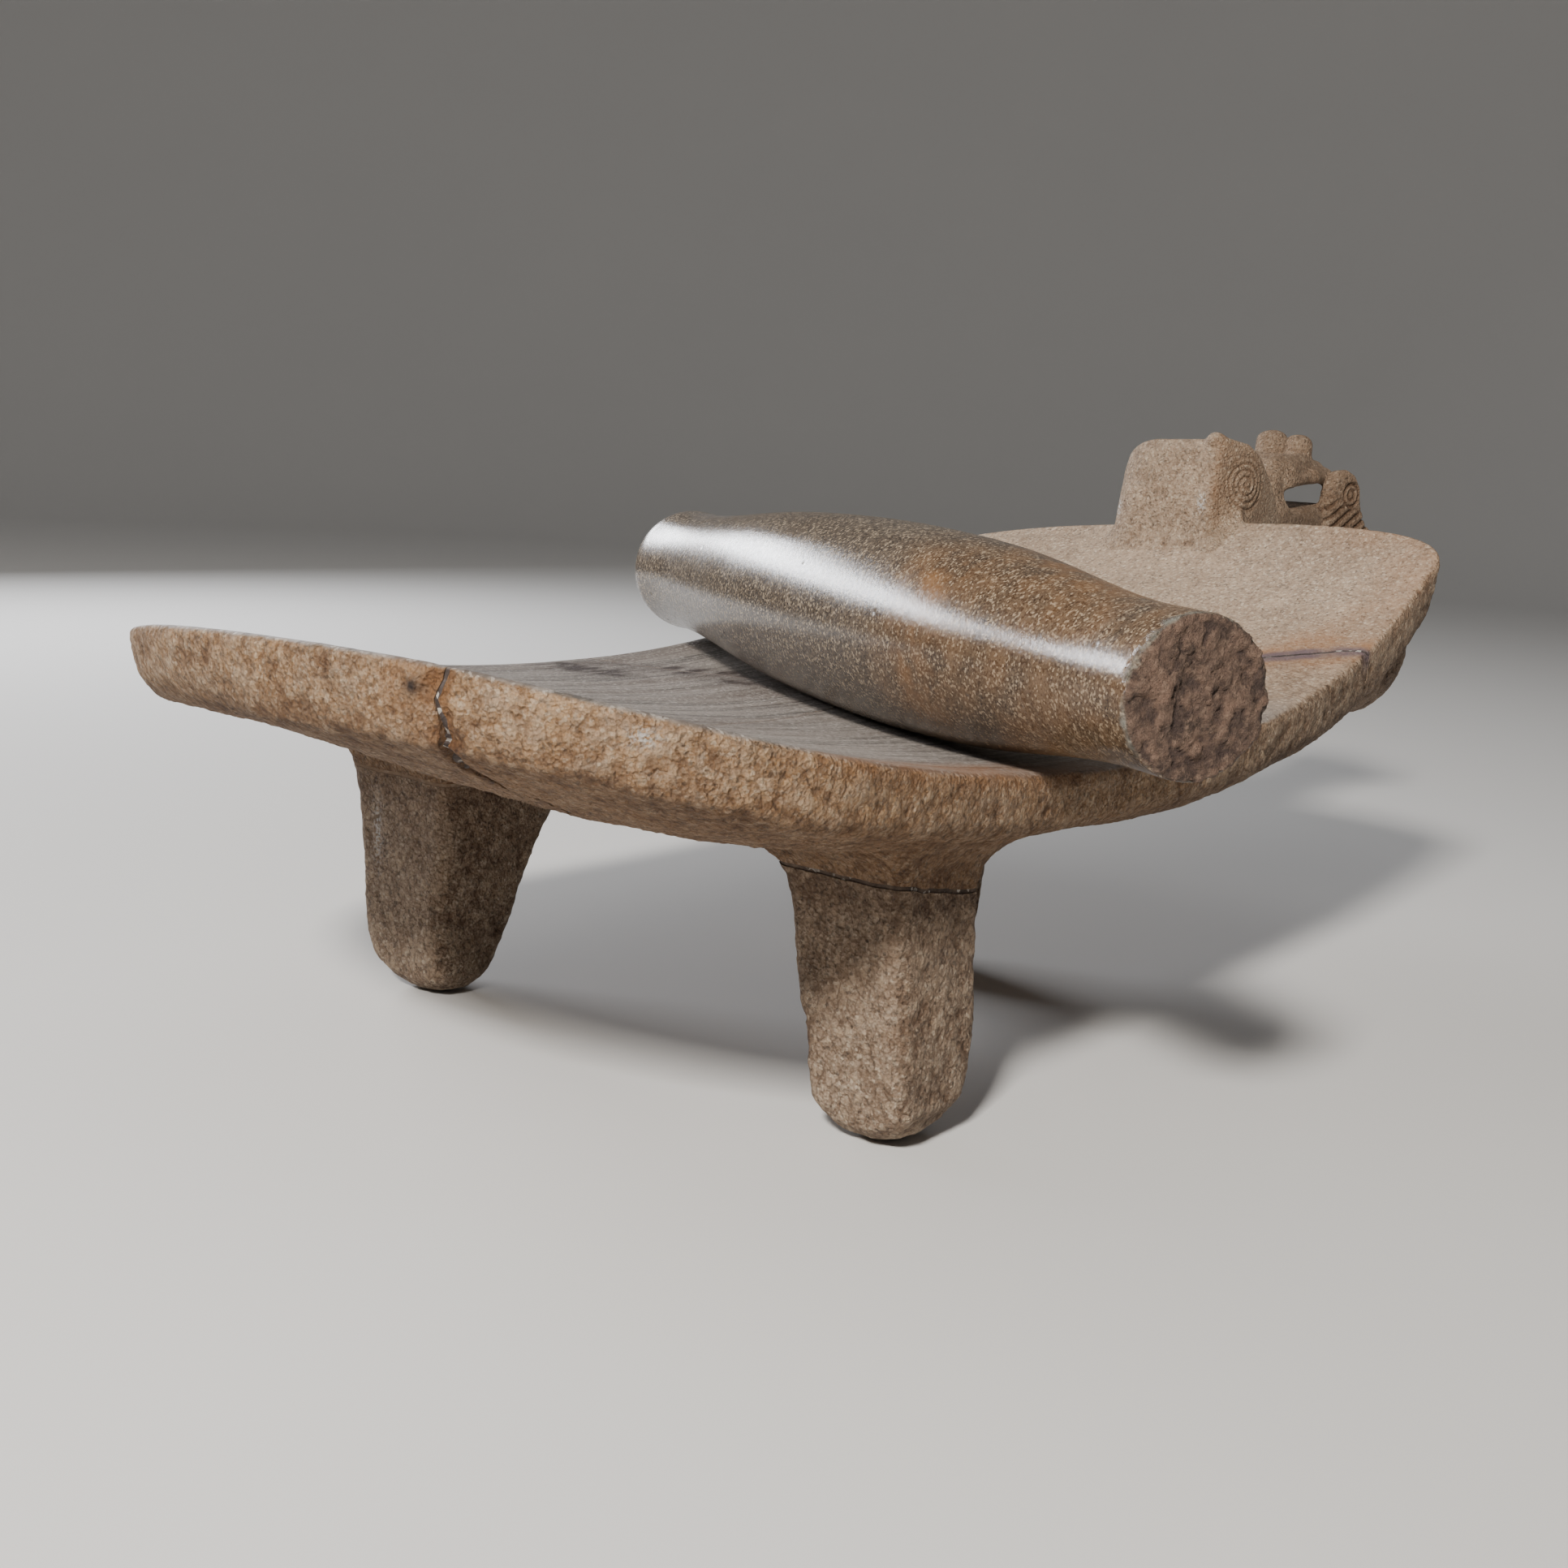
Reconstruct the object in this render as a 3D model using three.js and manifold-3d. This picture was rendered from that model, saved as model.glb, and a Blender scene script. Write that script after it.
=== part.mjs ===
// Carved stone grinding table on three legs (metate) with its loose hand stone (mano).
// Millimetres, +Z up, +X towards the carved head, the near end of the plate at -X.
// The table is an old find that was mended: three plate fragments and two
// re-attached legs, with a thin layer of fill in every break.
import * as THREE from 'three';
import * as BufferGeometryUtils from 'three/addons/utils/BufferGeometryUtils.js';
import Module from 'manifold-3d';

const wasm = await Module();
wasm.setup();

// ---------------------------------------------------------------- dimensions
const FOOTPRINT_CENTRE = { x: 97.0, y: -27.34 };   // middle of the whole footprint, measured from the plate's centre

const PLATE_LENGTH = 626;
const PLATE_WIDTH = 320;
const DISH_LOW_X = -25;        // lowest line of the grinding surface
const DISH_LOW_Z = 131.9;      // its height over the floor
const DISH_RADIUS = 920;       // long worn curve of the grinding surface
const RISE_X = 160;            // beyond this the surface turns up faster
const RISE_RADIUS = 410;
const NEAR_CAP = 119;          // length and squareness of the rounded near end
const NEAR_CAP_N = 2.2;
const FAR_CAP = 32;            // the head end has tighter corners
const FAR_CAP_N = 2.7;
const FAR_TWIST = -11.5;       // the head end is worn lower on its +Y side
const FAR_SKEW = 15.7;
const EDGE_MID = 19;           // height of the faced edge
const EDGE_NEAR_ADD = 6;
const EDGE_FAR_ADD = 12.5;
const NEAR_DROP = 7;            // the near end is worn lower towards its +Y corner
const BELLY = 14.5;            // extra depth of the underside towards the middle
const BELLY_TILT = -3.5;       // the underside hangs lower on its -Y side

const GAP = 0.3;               // clearance between touching stones
const FILL = 1.6;              // thickness of the fill in a break

const LEG_BREAK_Z = 93.5;      // height of the breaks in the two mended legs
const HEAD_LEG_Z = 94.5;         // the third leg is modelled apart from its fragment below this height

const MANO_LENGTH = 461.6;
const MANO_CENTRE = { x: -22.0, y: -24.84, z: 173.55 };
const MANO_TURN = 0.5;         // radians from +Y towards +X
const MANO_RADII = [26.45, 28.25, 32.9, 37.55, 39.97, 41.15, 41.23, 40.39, 38.73, 35.7, 32.37, 30.57, 32.08];
const MANO_ROUND_FROM = 0.92;  // the +Y end is rounded over, the -Y end is a flat old break

const HEAD_HALF = 34;          // half width of the head's back block and lower jaw
const SNOUT_HALF = 22;

// ------------------------------------------------------------------- helpers
function cleaned(geometry) {
  const g = geometry.clone();
  g.deleteAttribute('normal');
  g.deleteAttribute('uv');
  const m = BufferGeometryUtils.mergeVertices(g, 1e-3);
  const src = m.index.array, keep = [];
  for (let i = 0; i < src.length; i += 3) {
    const a = src[i], b = src[i + 1], c = src[i + 2];
    if (a !== b && b !== c && c !== a) keep.push(a, b, c);
  }
  m.setIndex(keep);
  return m;
}

function solid(geometry) {
  const m = cleaned(geometry);
  return new wasm.Manifold(new wasm.Mesh({
    numProp: 3,
    vertProperties: Float32Array.from(m.attributes.position.array),
    triVerts: Uint32Array.from(m.index.array),
  }));
}

function geometryOf(manifold) {
  const mesh = manifold.getMesh();
  const g = new THREE.BufferGeometry();
  g.setAttribute('position', new THREE.BufferAttribute(Float32Array.from(mesh.vertProperties), 3));
  g.setIndex(new THREE.BufferAttribute(Uint32Array.from(mesh.triVerts), 1));
  g.computeVertexNormals();
  return g;
}

// --------------------------------------------------------------------- plate
function dish(x) {                      // height of the grinding surface
  if (x <= RISE_X) return DISH_LOW_Z + DISH_RADIUS - Math.sqrt(DISH_RADIUS ** 2 - (x - DISH_LOW_X) ** 2);
  const a = Math.asin((RISE_X - DISH_LOW_X) / DISH_RADIUS);
  const z = DISH_LOW_Z + DISH_RADIUS - DISH_RADIUS * Math.cos(a);
  const cx = RISE_X - RISE_RADIUS * Math.sin(a), cz = z + RISE_RADIUS * Math.cos(a);
  return cz - Math.sqrt(RISE_RADIUS ** 2 - (x - cx) ** 2);
}
function edgeHeight(x) {
  const t = x / (PLATE_LENGTH / 2);
  return EDGE_MID + (x < 0 ? EDGE_NEAR_ADD : EDGE_FAR_ADD) * t * t;
}
const power = (v, n) => Math.sign(v) * Math.abs(v) ** (2 / n);
function nearCap(phi) {
  const h = PLATE_LENGTH / 2;
  return [-h + NEAR_CAP - NEAR_CAP * power(Math.cos(phi), NEAR_CAP_N), PLATE_WIDTH / 2 * power(Math.sin(phi), NEAR_CAP_N)];
}
function farCap(phi) {
  const h = PLATE_LENGTH / 2;
  return [h - FAR_CAP + FAR_CAP * power(Math.cos(phi), FAR_CAP_N), PLATE_WIDTH / 2 * power(Math.sin(phi), FAR_CAP_N)];
}
function byLength(points) {             // point at a fraction of a polyline's length
  const s = [0];
  for (let i = 1; i < points.length; i++) s.push(s[i - 1] + Math.hypot(points[i][0] - points[i - 1][0], points[i][1] - points[i - 1][1]));
  return (t) => {
    const d = t * s[s.length - 1];
    let i = 1;
    while (i < s.length - 1 && s[i] < d) i++;
    const k = (d - s[i - 1]) / (s[i] - s[i - 1]);
    return [points[i - 1][0] + (points[i][0] - points[i - 1][0]) * k, points[i - 1][1] + (points[i][1] - points[i - 1][1]) * k];
  };
}
const deg = Math.PI / 180;
const NEAR_CORNER = 50 * deg, FAR_CORNER = 42 * deg;
const arc = (f, a, b, n) => Array.from({ length: n + 1 }, (_, i) => f(a + (b - a) * i / n));
const nearSide = byLength(arc(nearCap, -NEAR_CORNER, NEAR_CORNER, 80));
const farSide = byLength(arc(farCap, -FAR_CORNER, FAR_CORNER, 80));
const rightSide = byLength([...arc(nearCap, -NEAR_CORNER, -90 * deg, 40), ...arc(farCap, -90 * deg, -FAR_CORNER, 24)]);
const leftSide = byLength([...arc(nearCap, NEAR_CORNER, 90 * deg, 40), ...arc(farCap, 90 * deg, FAR_CORNER, 24)]);

function inOutline(u, v) {              // unit square to the plate's outline
  const B = rightSide(u), T = leftSide(u), L = nearSide(v), R = farSide(v);
  const p00 = rightSide(0), p10 = rightSide(1), p01 = leftSide(0), p11 = leftSide(1);
  return [0, 1].map((k) => (1 - v) * B[k] + v * T[k] + (1 - u) * L[k] + u * R[k]
    - ((1 - u) * (1 - v) * p00[k] + u * (1 - v) * p10[k] + (1 - u) * v * p01[k] + u * v * p11[k]));
}

function plateGeometry(grow) {
  const g = new THREE.BoxGeometry(2, 2, 1, 34, 14, 3);
  const p = g.attributes.position;
  for (let i = 0; i < p.count; i++) {
    const a = p.getX(i), b = p.getY(i), k = 0.5 - p.getZ(i);     // k: 0 at the top, 1 at the underside
    let [x, y] = inOutline((a + 1) / 2, (b + 1) / 2);
    const s = Math.max(Math.abs(a), Math.abs(b));
    const top = dish(x);
    let z = k < 1e-6 ? top : top - k * edgeHeight(x);
    if (k > 1 - 1e-6) z -= (BELLY + BELLY_TILT * y / (PLATE_WIDTH / 2)) * (1 - s ** 5);
    const inset = 3 * k * k * s;
    x *= 1 + (grow - inset) / (PLATE_LENGTH / 2);
    y *= 1 + (grow - inset) / (PLATE_WIDTH / 2);
    z += grow * (1 - 2 * k);
    const u = Math.max(0, (x - 80) / (PLATE_LENGTH / 2 - 80)) ** 2 * (y / (PLATE_WIDTH / 2));
    if (x < 0) z -= NEAR_DROP * (x / (PLATE_LENGTH / 2)) ** 2 * Math.max(0, (y + 77) / 237) * (1 - k);
    p.setXYZ(i, x + FAR_SKEW * u, y, z + FAR_TWIST * u);
  }
  return g;
}

// ---------------------------------------------------------------------- legs
// Rows: z, front x, back x, low y, high y.
const LEG_NEAR_RIGHT = [
  [0, -141, -119, -133, -113], [2.5, -146.5, -115.5, -138, -109.5], [7, -149.5, -110.5, -142, -106.5],
  [14, -150, -105.5, -143.5, -103], [26, -150, -101.5, -142.5, -99.5], [46, -150, -98.5, -141, -95],
  [66, -150, -98.5, -139.6, -91], [82, -150.5, -99, -139, -88], [92, -151.5, -98.5, -139, -85],
  [98.6, -153, -96, -139.5, -80.5], [107, -157, -90, -142, -73], [120, -164, -80, -146, -64],
];
const LEG_NEAR_LEFT = [
  [0, -140, -121, 103, 125], [2.5, -146, -118.5, 98.5, 130], [7, -149.5, -115, 95, 135],
  [14, -150, -109.5, 93.4, 139.5], [26, -150, -102, 93, 143], [46, -150, -94, 92.5, 146],
  [66, -150, -86.5, 91.5, 148.5], [82, -150.5, -80.5, 90.5, 150.5], [92, -151.5, -76, 89.6, 152],
  [98.6, -153, -71.5, 87.5, 153], [107, -157, -62, 82, 154.5], [120, -164, -50, 76, 155.5],
];
const LEG_HEAD_END = [
  [0, 52, 80, -16, 17], [2.5, 47.5, 84, -20, 21], [7, 44.5, 87, -23, 24],
  [14, 42.5, 88.5, -24.5, 26], [26, 41, 89.5, -25.5, 27], [46, 40, 90, -26, 27.5],
  [66, 39.5, 90.5, -26.5, 28], [82, 39, 91, -27, 28.5], [92, 38, 92, -28, 30],
  [98.6, 36.5, 94, -29.5, 32], [107, 34.5, 98, -33, 36], [120, 32, 104, -37, 40],
];
function legGeometry(rows) {
  const g = new THREE.BoxGeometry(2, 2, 1, 4, 4, rows.length - 1);
  const p = g.attributes.position, n = 6;
  for (let i = 0; i < p.count; i++) {
    const a = p.getX(i), b = p.getY(i);
    const level = Math.round((p.getZ(i) + 0.5) * (rows.length - 1));
    const [z, xf, xb, yl, yh] = rows[level];
    const m = Math.max(Math.abs(a), Math.abs(b)), d = (Math.abs(a) ** n + Math.abs(b) ** n) ** (1 / n);
    const f = m > 0 ? m / d : 0;
    p.setXYZ(i, (xf + xb) / 2 + a * f * (xb - xf) / 2, (yl + yh) / 2 + b * f * (yh - yl) / 2, z);
  }
  return g;
}

// ----------------------------------------------------------- cutting prisms
function prism(points, z0, z1) {
  const shape = new THREE.Shape(points.map(([x, y]) => new THREE.Vector2(x, y)));
  const g = new THREE.ExtrudeGeometry(shape, { depth: z1 - z0, bevelEnabled: false });
  g.translate(0, 0, z0);
  return solid(g);
}
function offsetPath(path, d) {          // to the left of the walking direction
  return path.map((q, i) => {
    const a = path[Math.max(0, i - 1)], b = path[Math.min(path.length - 1, i + 1)];
    const l = Math.hypot(b[0] - a[0], b[1] - a[1]);
    return [q[0] - (b[1] - a[1]) / l * d, q[1] + (b[0] - a[0]) / l * d];
  });
}
const strip = (path, half) => prism([...offsetPath(path, -half), ...offsetPath(path, half).reverse()], 60, 280);

// The diagonal break, walked from the +Y side to the -Y side: left of it is the head end.
const BREAK_DIAGONAL = [
  [-6, 200], [-2, 160], [0, 125], [3, 100], [9, 78], [14, 60], [20, 38], [24, 12], [30, -16], [46, -40],
  [84, -63], [128, -88], [158, -105], [174, -114], [184, -133], [191.5, -147], [189, -160], [192, -200],
];
// The break from the near end, walked towards the diagonal: left of it is the +Y fragment.
const BREAK_NEAR = [
  [-345, -79], [-313, -77.5], [-303, -76], [-262, -73], [-215, -60], [-160, -51], [-105, -30], [-50, -17], [0, -4], [60, 0],
];
const half = FILL / 2;
const headSide = prism([...offsetPath(BREAK_DIAGONAL, half + GAP), [420, -200], [420, 200]], 60, 280);
const nearSideOfBreak = prism([...offsetPath(BREAK_DIAGONAL, -half - GAP), [-420, -200], [-420, 200]].reverse(), 60, 280);
const leftOfNear = prism([...offsetPath(BREAK_NEAR, half + GAP), [260, 2], [260, 220], [-345, 220]], 60, 280);
const rightOfNear = prism([...offsetPath(BREAK_NEAR, -half - GAP), [260, -2], [260, -220], [-345, -220]].reverse(), 60, 280);

function slab(z0, z1) {
  const g = new THREE.BoxGeometry(1000, 700, z1 - z0);
  g.translate(0, 0, (z0 + z1) / 2);
  return solid(g);
}

// -------------------------------------------------------------- build stones
const legRight = solid(legGeometry(LEG_NEAR_RIGHT));
const legLeft = solid(legGeometry(LEG_NEAR_LEFT));
const legHead = solid(legGeometry(LEG_HEAD_END));
const aboveBreak = slab(LEG_BREAK_Z + FILL + GAP, 200);
const belowBreak = slab(-10, LEG_BREAK_Z - GAP);
const inBreak = slab(LEG_BREAK_Z, LEG_BREAK_Z + FILL);
const belowHeadLegCut = slab(-10, HEAD_LEG_Z - GAP);
const aboveHeadLegCut = slab(HEAD_LEG_Z, 200);

// Rounded bolster across the underside of the head end, tapering at both ends.
const bolsterGeometry = () => {
  const outline = [[206, 150], [210, 134], [228, 126.5], [250, 122.5], [283, 120.7], [298, 124], [312, 132], [320, 142],
    [321.5, 156], [318, 170], [309, 184], [300, 192], [250, 170]];
  const g = new THREE.ExtrudeGeometry(new THREE.Shape(outline.map(([x, z]) => new THREE.Vector2(x, z))), { depth: 280, steps: 14, bevelEnabled: false });
  g.rotateX(Math.PI / 2);
  g.translate(0, 140, 0);
  const p = g.attributes.position;
  for (let i = 0; i < p.count; i++) {
    const f = 1 - 0.32 * Math.max(0, (Math.abs(p.getY(i)) / 140 - 0.8) / 0.2) ** 2;
    p.setX(i, 262 + (p.getX(i) - 262) * f);
    p.setZ(i, 164 + (p.getZ(i) - 164) * f);
  }
  return g;
};
const bolster = solid(bolsterGeometry());

const wholePlate = solid(plateGeometry(0))
  .add(legRight.intersect(aboveBreak))
  .add(legLeft.intersect(aboveBreak))
  .add(legHead.intersect(aboveHeadLegCut))
  .add(bolster);

// Head: back block with a falling brow, groove, snout with two knobs, open mouth,
// lower jaw and a whorl at each side of the mouth.
const head = (() => {
  const side = (outline, halfWidth) => {
    const g = new THREE.ExtrudeGeometry(new THREE.Shape(outline.map(([x, z]) => new THREE.Vector2(x, z))), { depth: 2 * halfWidth, bevelEnabled: false });
    g.rotateX(Math.PI / 2);
    g.translate(0, halfWidth, 0);
    return solid(g);
  };
  const block = side([[292, 176], [320, 182], [360, 185], [378, 190], [372, 214], [362, 219], [352, 225], [341, 235], [325, 247],
    [311, 255], [304, 257.5], [298, 256.5], [293, 250], [291.3, 230], [291.3, 200]], HEAD_HALF);
  const jaw = side([[355, 186], [420, 188], [470, 193], [498, 200], [507, 207], [505, 213], [495, 219], [470, 223],
    [440, 226], [410, 227], [380, 222], [360, 214]], HEAD_HALF - 4);
  const snout = side([[360, 200], [420, 205], [420, 226.5], [403, 228], [400, 231.5], [406, 235.5], [430, 237], [455, 237.5], [462, 241],
    [461, 247], [452, 252.5], [430, 255], [405, 254.5], [392, 251], [386, 243], [380, 230], [372, 220], [360, 217]], SNOUT_HALF);
  const ball = (x, y, z, rx, ry, rz, w, h) => {
    const g = new THREE.SphereGeometry(1, w, h);
    g.scale(rx, ry, rz);
    g.translate(x, y, z);
    return solid(g);
  };
  let h = block.add(jaw).add(snout);
  for (const s of [-1, 1]) {
    h = h.add(ball(441, 9.5 * s, 257, 9.5, 9, 11.5, 14, 10));     // knobs on the snout
    h = h.add(ball(466, 30 * s, 226, 31, 8.5, 19, 18, 10));       // whorls beside the mouth
  }
  h = h.add(ball(302, -29, 251, 11, 7, 8.5, 12, 8));              // worn nub on the -Y corner
  return h.subtract(solid(plateGeometry(GAP))).subtract(solid(plateGeometry(GAP).translate(-6, 0, -6)))
    .subtract(bolster).subtract(solid(bolsterGeometry().translate(GAP, 0, GAP)));
})();

const plateHeadEnd = wholePlate.intersect(headSide);
const nearPlate = wholePlate.intersect(nearSideOfBreak);
const plateNearLeft = nearPlate.intersect(leftOfNear);
const plateNearRight = nearPlate.intersect(rightOfNear);
const fillDiagonal = solid(plateGeometry(-0.4)).intersect(strip(BREAK_DIAGONAL, half));
const fillNear = solid(plateGeometry(-0.4)).intersect(strip(BREAK_NEAR, half)).intersect(nearSideOfBreak);

const mano = (() => {
  const h = MANO_LENGTH / 2, radii = MANO_RADII, n = radii.length - 1;
  const curve = new THREE.SplineCurve(radii.map((r, i) => new THREE.Vector2(r, -h + MANO_LENGTH * i / n)));
  const profile = [new THREE.Vector2(0, -h), new THREE.Vector2(radii[0] - 1.5, -h)];
  for (let i = 0; i <= 24; i++) {
    const q = curve.getPoint(i / 24);
    const t = q.y / h;
    if (i === 0) profile.push(new THREE.Vector2(q.x, -h + 1.5));
    else if (t < MANO_ROUND_FROM) profile.push(q);
  }
  const r0 = 30.9;
  for (const t of [0.92, 0.95, 0.972, 0.986, 0.995]) {
    const s = (t - MANO_ROUND_FROM) / (1 - MANO_ROUND_FROM);
    profile.push(new THREE.Vector2(r0 * (1 - s ** 2.4) ** (1 / 2.4), h * t));
  }
  profile.push(new THREE.Vector2(0, h));
  return solid(new THREE.LatheGeometry(profile, 30));
})();

// --------------------------------------------------------------------- scene
const stone = (name, color, roughness) => new THREE.MeshStandardMaterial({ name, color, roughness, metalness: 0 });
const tableGroup = new THREE.Group();
function put(group, name, manifold, material) {
  const mesh = new THREE.Mesh(geometryOf(manifold), material);
  mesh.name = name;
  group.add(mesh);
  return mesh;
}
put(tableGroup, 'plate_head_end', plateHeadEnd, stone('plate stone', 0xa08a72, 0.85));
put(tableGroup, 'plate_near_left', plateNearLeft, stone('plate stone left', 0xa08460, 0.85));
put(tableGroup, 'plate_near_right', plateNearRight, stone('plate stone right', 0xa48862, 0.85));
put(tableGroup, 'seam_fill_diagonal', fillDiagonal, stone('diagonal fill', 0x8d8088, 0.95));
put(tableGroup, 'seam_fill_near', fillNear, stone('near fill', 0x857c80, 0.95));
put(tableGroup, 'leg_near_left', legLeft.intersect(belowBreak), stone('left leg stone', 0x8c7660, 0.9));
put(tableGroup, 'seam_leg_near_left', legLeft.intersect(inBreak), stone('left leg fill', 0x54483f, 0.95));
put(tableGroup, 'leg_near_right', legRight.intersect(belowBreak), stone('right leg stone', 0x96805f, 0.9));
put(tableGroup, 'seam_leg_near_right', legRight.intersect(inBreak), stone('right leg fill', 0x54483f, 0.95));
put(tableGroup, 'leg_head_end', legHead.intersect(belowHeadLegCut), stone('third leg stone', 0x8f7a64, 0.9));
put(tableGroup, 'head_effigy', head, stone('head stone', 0x9a8672, 0.88));

const handStone = new THREE.Group();
handStone.position.set(MANO_CENTRE.x, MANO_CENTRE.y, MANO_CENTRE.z);
handStone.rotation.z = -MANO_TURN;
put(handStone, 'mano', mano, stone('hand stone', 0x6f6152, 0.35));

const metate = new THREE.Group();
metate.position.set(-FOOTPRINT_CENTRE.x, -FOOTPRINT_CENTRE.y, 0);
metate.add(tableGroup, handStone);

export default metate;
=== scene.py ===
import math
import bpy
import bmesh
import numpy as np
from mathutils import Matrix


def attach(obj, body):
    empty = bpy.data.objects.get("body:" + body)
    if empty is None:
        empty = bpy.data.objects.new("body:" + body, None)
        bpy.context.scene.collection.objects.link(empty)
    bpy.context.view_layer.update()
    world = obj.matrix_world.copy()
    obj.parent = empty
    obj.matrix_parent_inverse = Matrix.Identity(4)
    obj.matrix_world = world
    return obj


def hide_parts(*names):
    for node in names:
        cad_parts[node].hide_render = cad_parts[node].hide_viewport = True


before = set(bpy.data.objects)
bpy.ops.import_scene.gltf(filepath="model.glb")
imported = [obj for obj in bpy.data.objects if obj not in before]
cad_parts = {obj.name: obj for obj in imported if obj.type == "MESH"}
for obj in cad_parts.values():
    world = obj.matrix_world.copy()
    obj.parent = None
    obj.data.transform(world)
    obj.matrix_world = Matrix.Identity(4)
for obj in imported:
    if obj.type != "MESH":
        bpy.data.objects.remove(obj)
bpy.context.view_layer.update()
import openvdb
from mathutils import Matrix, Vector

# ---------------------------------------------------------------------------
# Everything is worked out in millimetres from the middle of the plate, and
# shifted to the shared frame (metres, origin under the middle of the footprint).
# ---------------------------------------------------------------------------
OX, OY = 97.0, -27.34
LEN, WID = 626.0, 320.0
LOW_X, LOW_Z, R1 = -25.0, 131.9, 920.0
RISE_X, R2 = 160.0, 410.0
NEAR_CAP, NEAR_N = 119.0, 2.2
FAR_CAP, FAR_N = 32.0, 3.0
TWIST, SKEW = -11.5, 15.7
DROP = 7.0
VOX = 1.4
HVOX = 0.85

# ------------------------------------------------------------------ noise
_r = np.random.RandomState(11)
PERM = np.concatenate([_r.permutation(256)] * 3).astype(np.int32)
RAND = (_r.rand(256, 4) * 2 - 1).astype(np.float32)


def _hash(i, j, k):
    return PERM[PERM[PERM[i & 255] + (j & 255)] + (k & 255)]


def noise(x, y, z, wave, seed=0.0):
    """Smooth value noise, about -1 to 1, features about one wave wide."""
    x = x / wave + seed * 7.31; y = y / wave + seed * 3.17; z = z / wave + seed * 5.77
    xi, yi, zi = np.floor(x).astype(np.int32), np.floor(y).astype(np.int32), np.floor(z).astype(np.int32)
    fx, fy, fz = x - xi, y - yi, z - zi
    fx = fx * fx * (3 - 2 * fx); fy = fy * fy * (3 - 2 * fy); fz = fz * fz * (3 - 2 * fz)
    V = RAND[:, 0]
    def c(a, b, d):
        return V[_hash(xi + a, yi + b, zi + d)]
    x00 = c(0, 0, 0) * (1 - fx) + c(1, 0, 0) * fx
    x10 = c(0, 1, 0) * (1 - fx) + c(1, 1, 0) * fx
    x01 = c(0, 0, 1) * (1 - fx) + c(1, 0, 1) * fx
    x11 = c(0, 1, 1) * (1 - fx) + c(1, 1, 1) * fx
    a = x00 * (1 - fy) + x10 * fy
    b = x01 * (1 - fy) + x11 * fy
    return a * (1 - fz) + b * fz


def fbm(x, y, z, wave, octaves=3, gain=0.5, seed=0.0):
    s, a, t = 0.0, 1.0, 0.0
    for o in range(octaves):
        s = s + a * noise(x, y, z, wave / 2.03 ** o, seed + o * 1.7)
        t += a
        a *= gain
    return s / t * 1.4


def cells(x, y, z, wave, seed=0):
    """Distance to the nearest of scattered points (in waves), and that point's own random number."""
    x = x / wave + seed * 13.7; y = y / wave + seed * 5.1; z = z / wave + seed * 9.3
    xi, yi, zi = np.floor(x).astype(np.int32), np.floor(y).astype(np.int32), np.floor(z).astype(np.int32)
    best = np.full(x.shape, 9.0, np.float32); val = np.zeros(x.shape, np.float32)
    for a in (-1, 0, 1):
        for b in (-1, 0, 1):
            for c in (-1, 0, 1):
                h = _hash(xi + a, yi + b, zi + c)
                r = RAND[h]
                d = (xi + a + 0.5 + 0.45 * r[..., 0] - x) ** 2 + (yi + b + 0.5 + 0.45 * r[..., 1] - y) ** 2 + (zi + c + 0.5 + 0.45 * r[..., 2] - z) ** 2
                m = d < best
                best = np.where(m, d, best); val = np.where(m, r[..., 3], val)
    return np.sqrt(best), val


def smax(a, b, k):
    h = np.maximum(k - np.abs(a - b), 0.0) / k
    return np.maximum(a, b) + h * h * k * 0.25


def smin(a, b, k):
    h = np.maximum(k - np.abs(a - b), 0.0) / k
    return np.minimum(a, b) - h * h * k * 0.25


def step(a, b, x):
    """0 at a, 1 at b, smooth between; a may be above b."""
    t = np.clip((x - a) / (b - a), 0, 1)
    return t * t * (3 - 2 * t)


# ------------------------------------------------------------------ the table
_A = math.asin((RISE_X - LOW_X) / R1)
_ZB = LOW_Z + R1 - R1 * math.cos(_A)
_CX, _CZ = RISE_X - R2 * math.sin(_A), _ZB + R2 * math.cos(_A)


def dish(x):
    z1 = LOW_Z + R1 - np.sqrt(np.maximum(R1 ** 2 - (x - LOW_X) ** 2, 1.0))
    z2 = _CZ - np.sqrt(np.maximum(R2 ** 2 - (x - _CX) ** 2, 1.0))
    return np.where(x <= RISE_X, z1, z2)


def slope(x):
    s1 = (x - LOW_X) / np.sqrt(np.maximum(R1 ** 2 - (x - LOW_X) ** 2, 1.0))
    s2 = (x - _CX) / np.sqrt(np.maximum(R2 ** 2 - (x - _CX) ** 2, 1e3))
    return np.where(x <= RISE_X, s1, s2)


def outline(x, y):
    """Distance outside the plate's outline, negative inside."""
    ay = np.abs(y)
    n, c, xs = NEAR_N, NEAR_CAP, -LEN / 2 + NEAR_CAP
    p, q = np.maximum(xs - x, 0) / c, np.maximum(ay / (WID / 2), 0.05)
    f = (p ** n + q ** n + 1e-9) ** (1 / n)
    g = np.sqrt((p ** (n - 1) / c) ** 2 + (q ** (n - 1) / (WID / 2)) ** 2 + 1e-12) / f ** (n - 1)
    near = (f - 1) / g
    n, c, xe = FAR_N, FAR_CAP, LEN / 2 - FAR_CAP
    p = np.maximum(x - xe, 0) / c
    f = (p ** n + q ** n + 1e-9) ** (1 / n)
    g = np.sqrt((p ** (n - 1) / c) ** 2 + (q ** (n - 1) / (WID / 2)) ** 2 + 1e-12) / f ** (n - 1)
    far = (f - 1) / g
    return np.where(x < 0, near, far)


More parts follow.
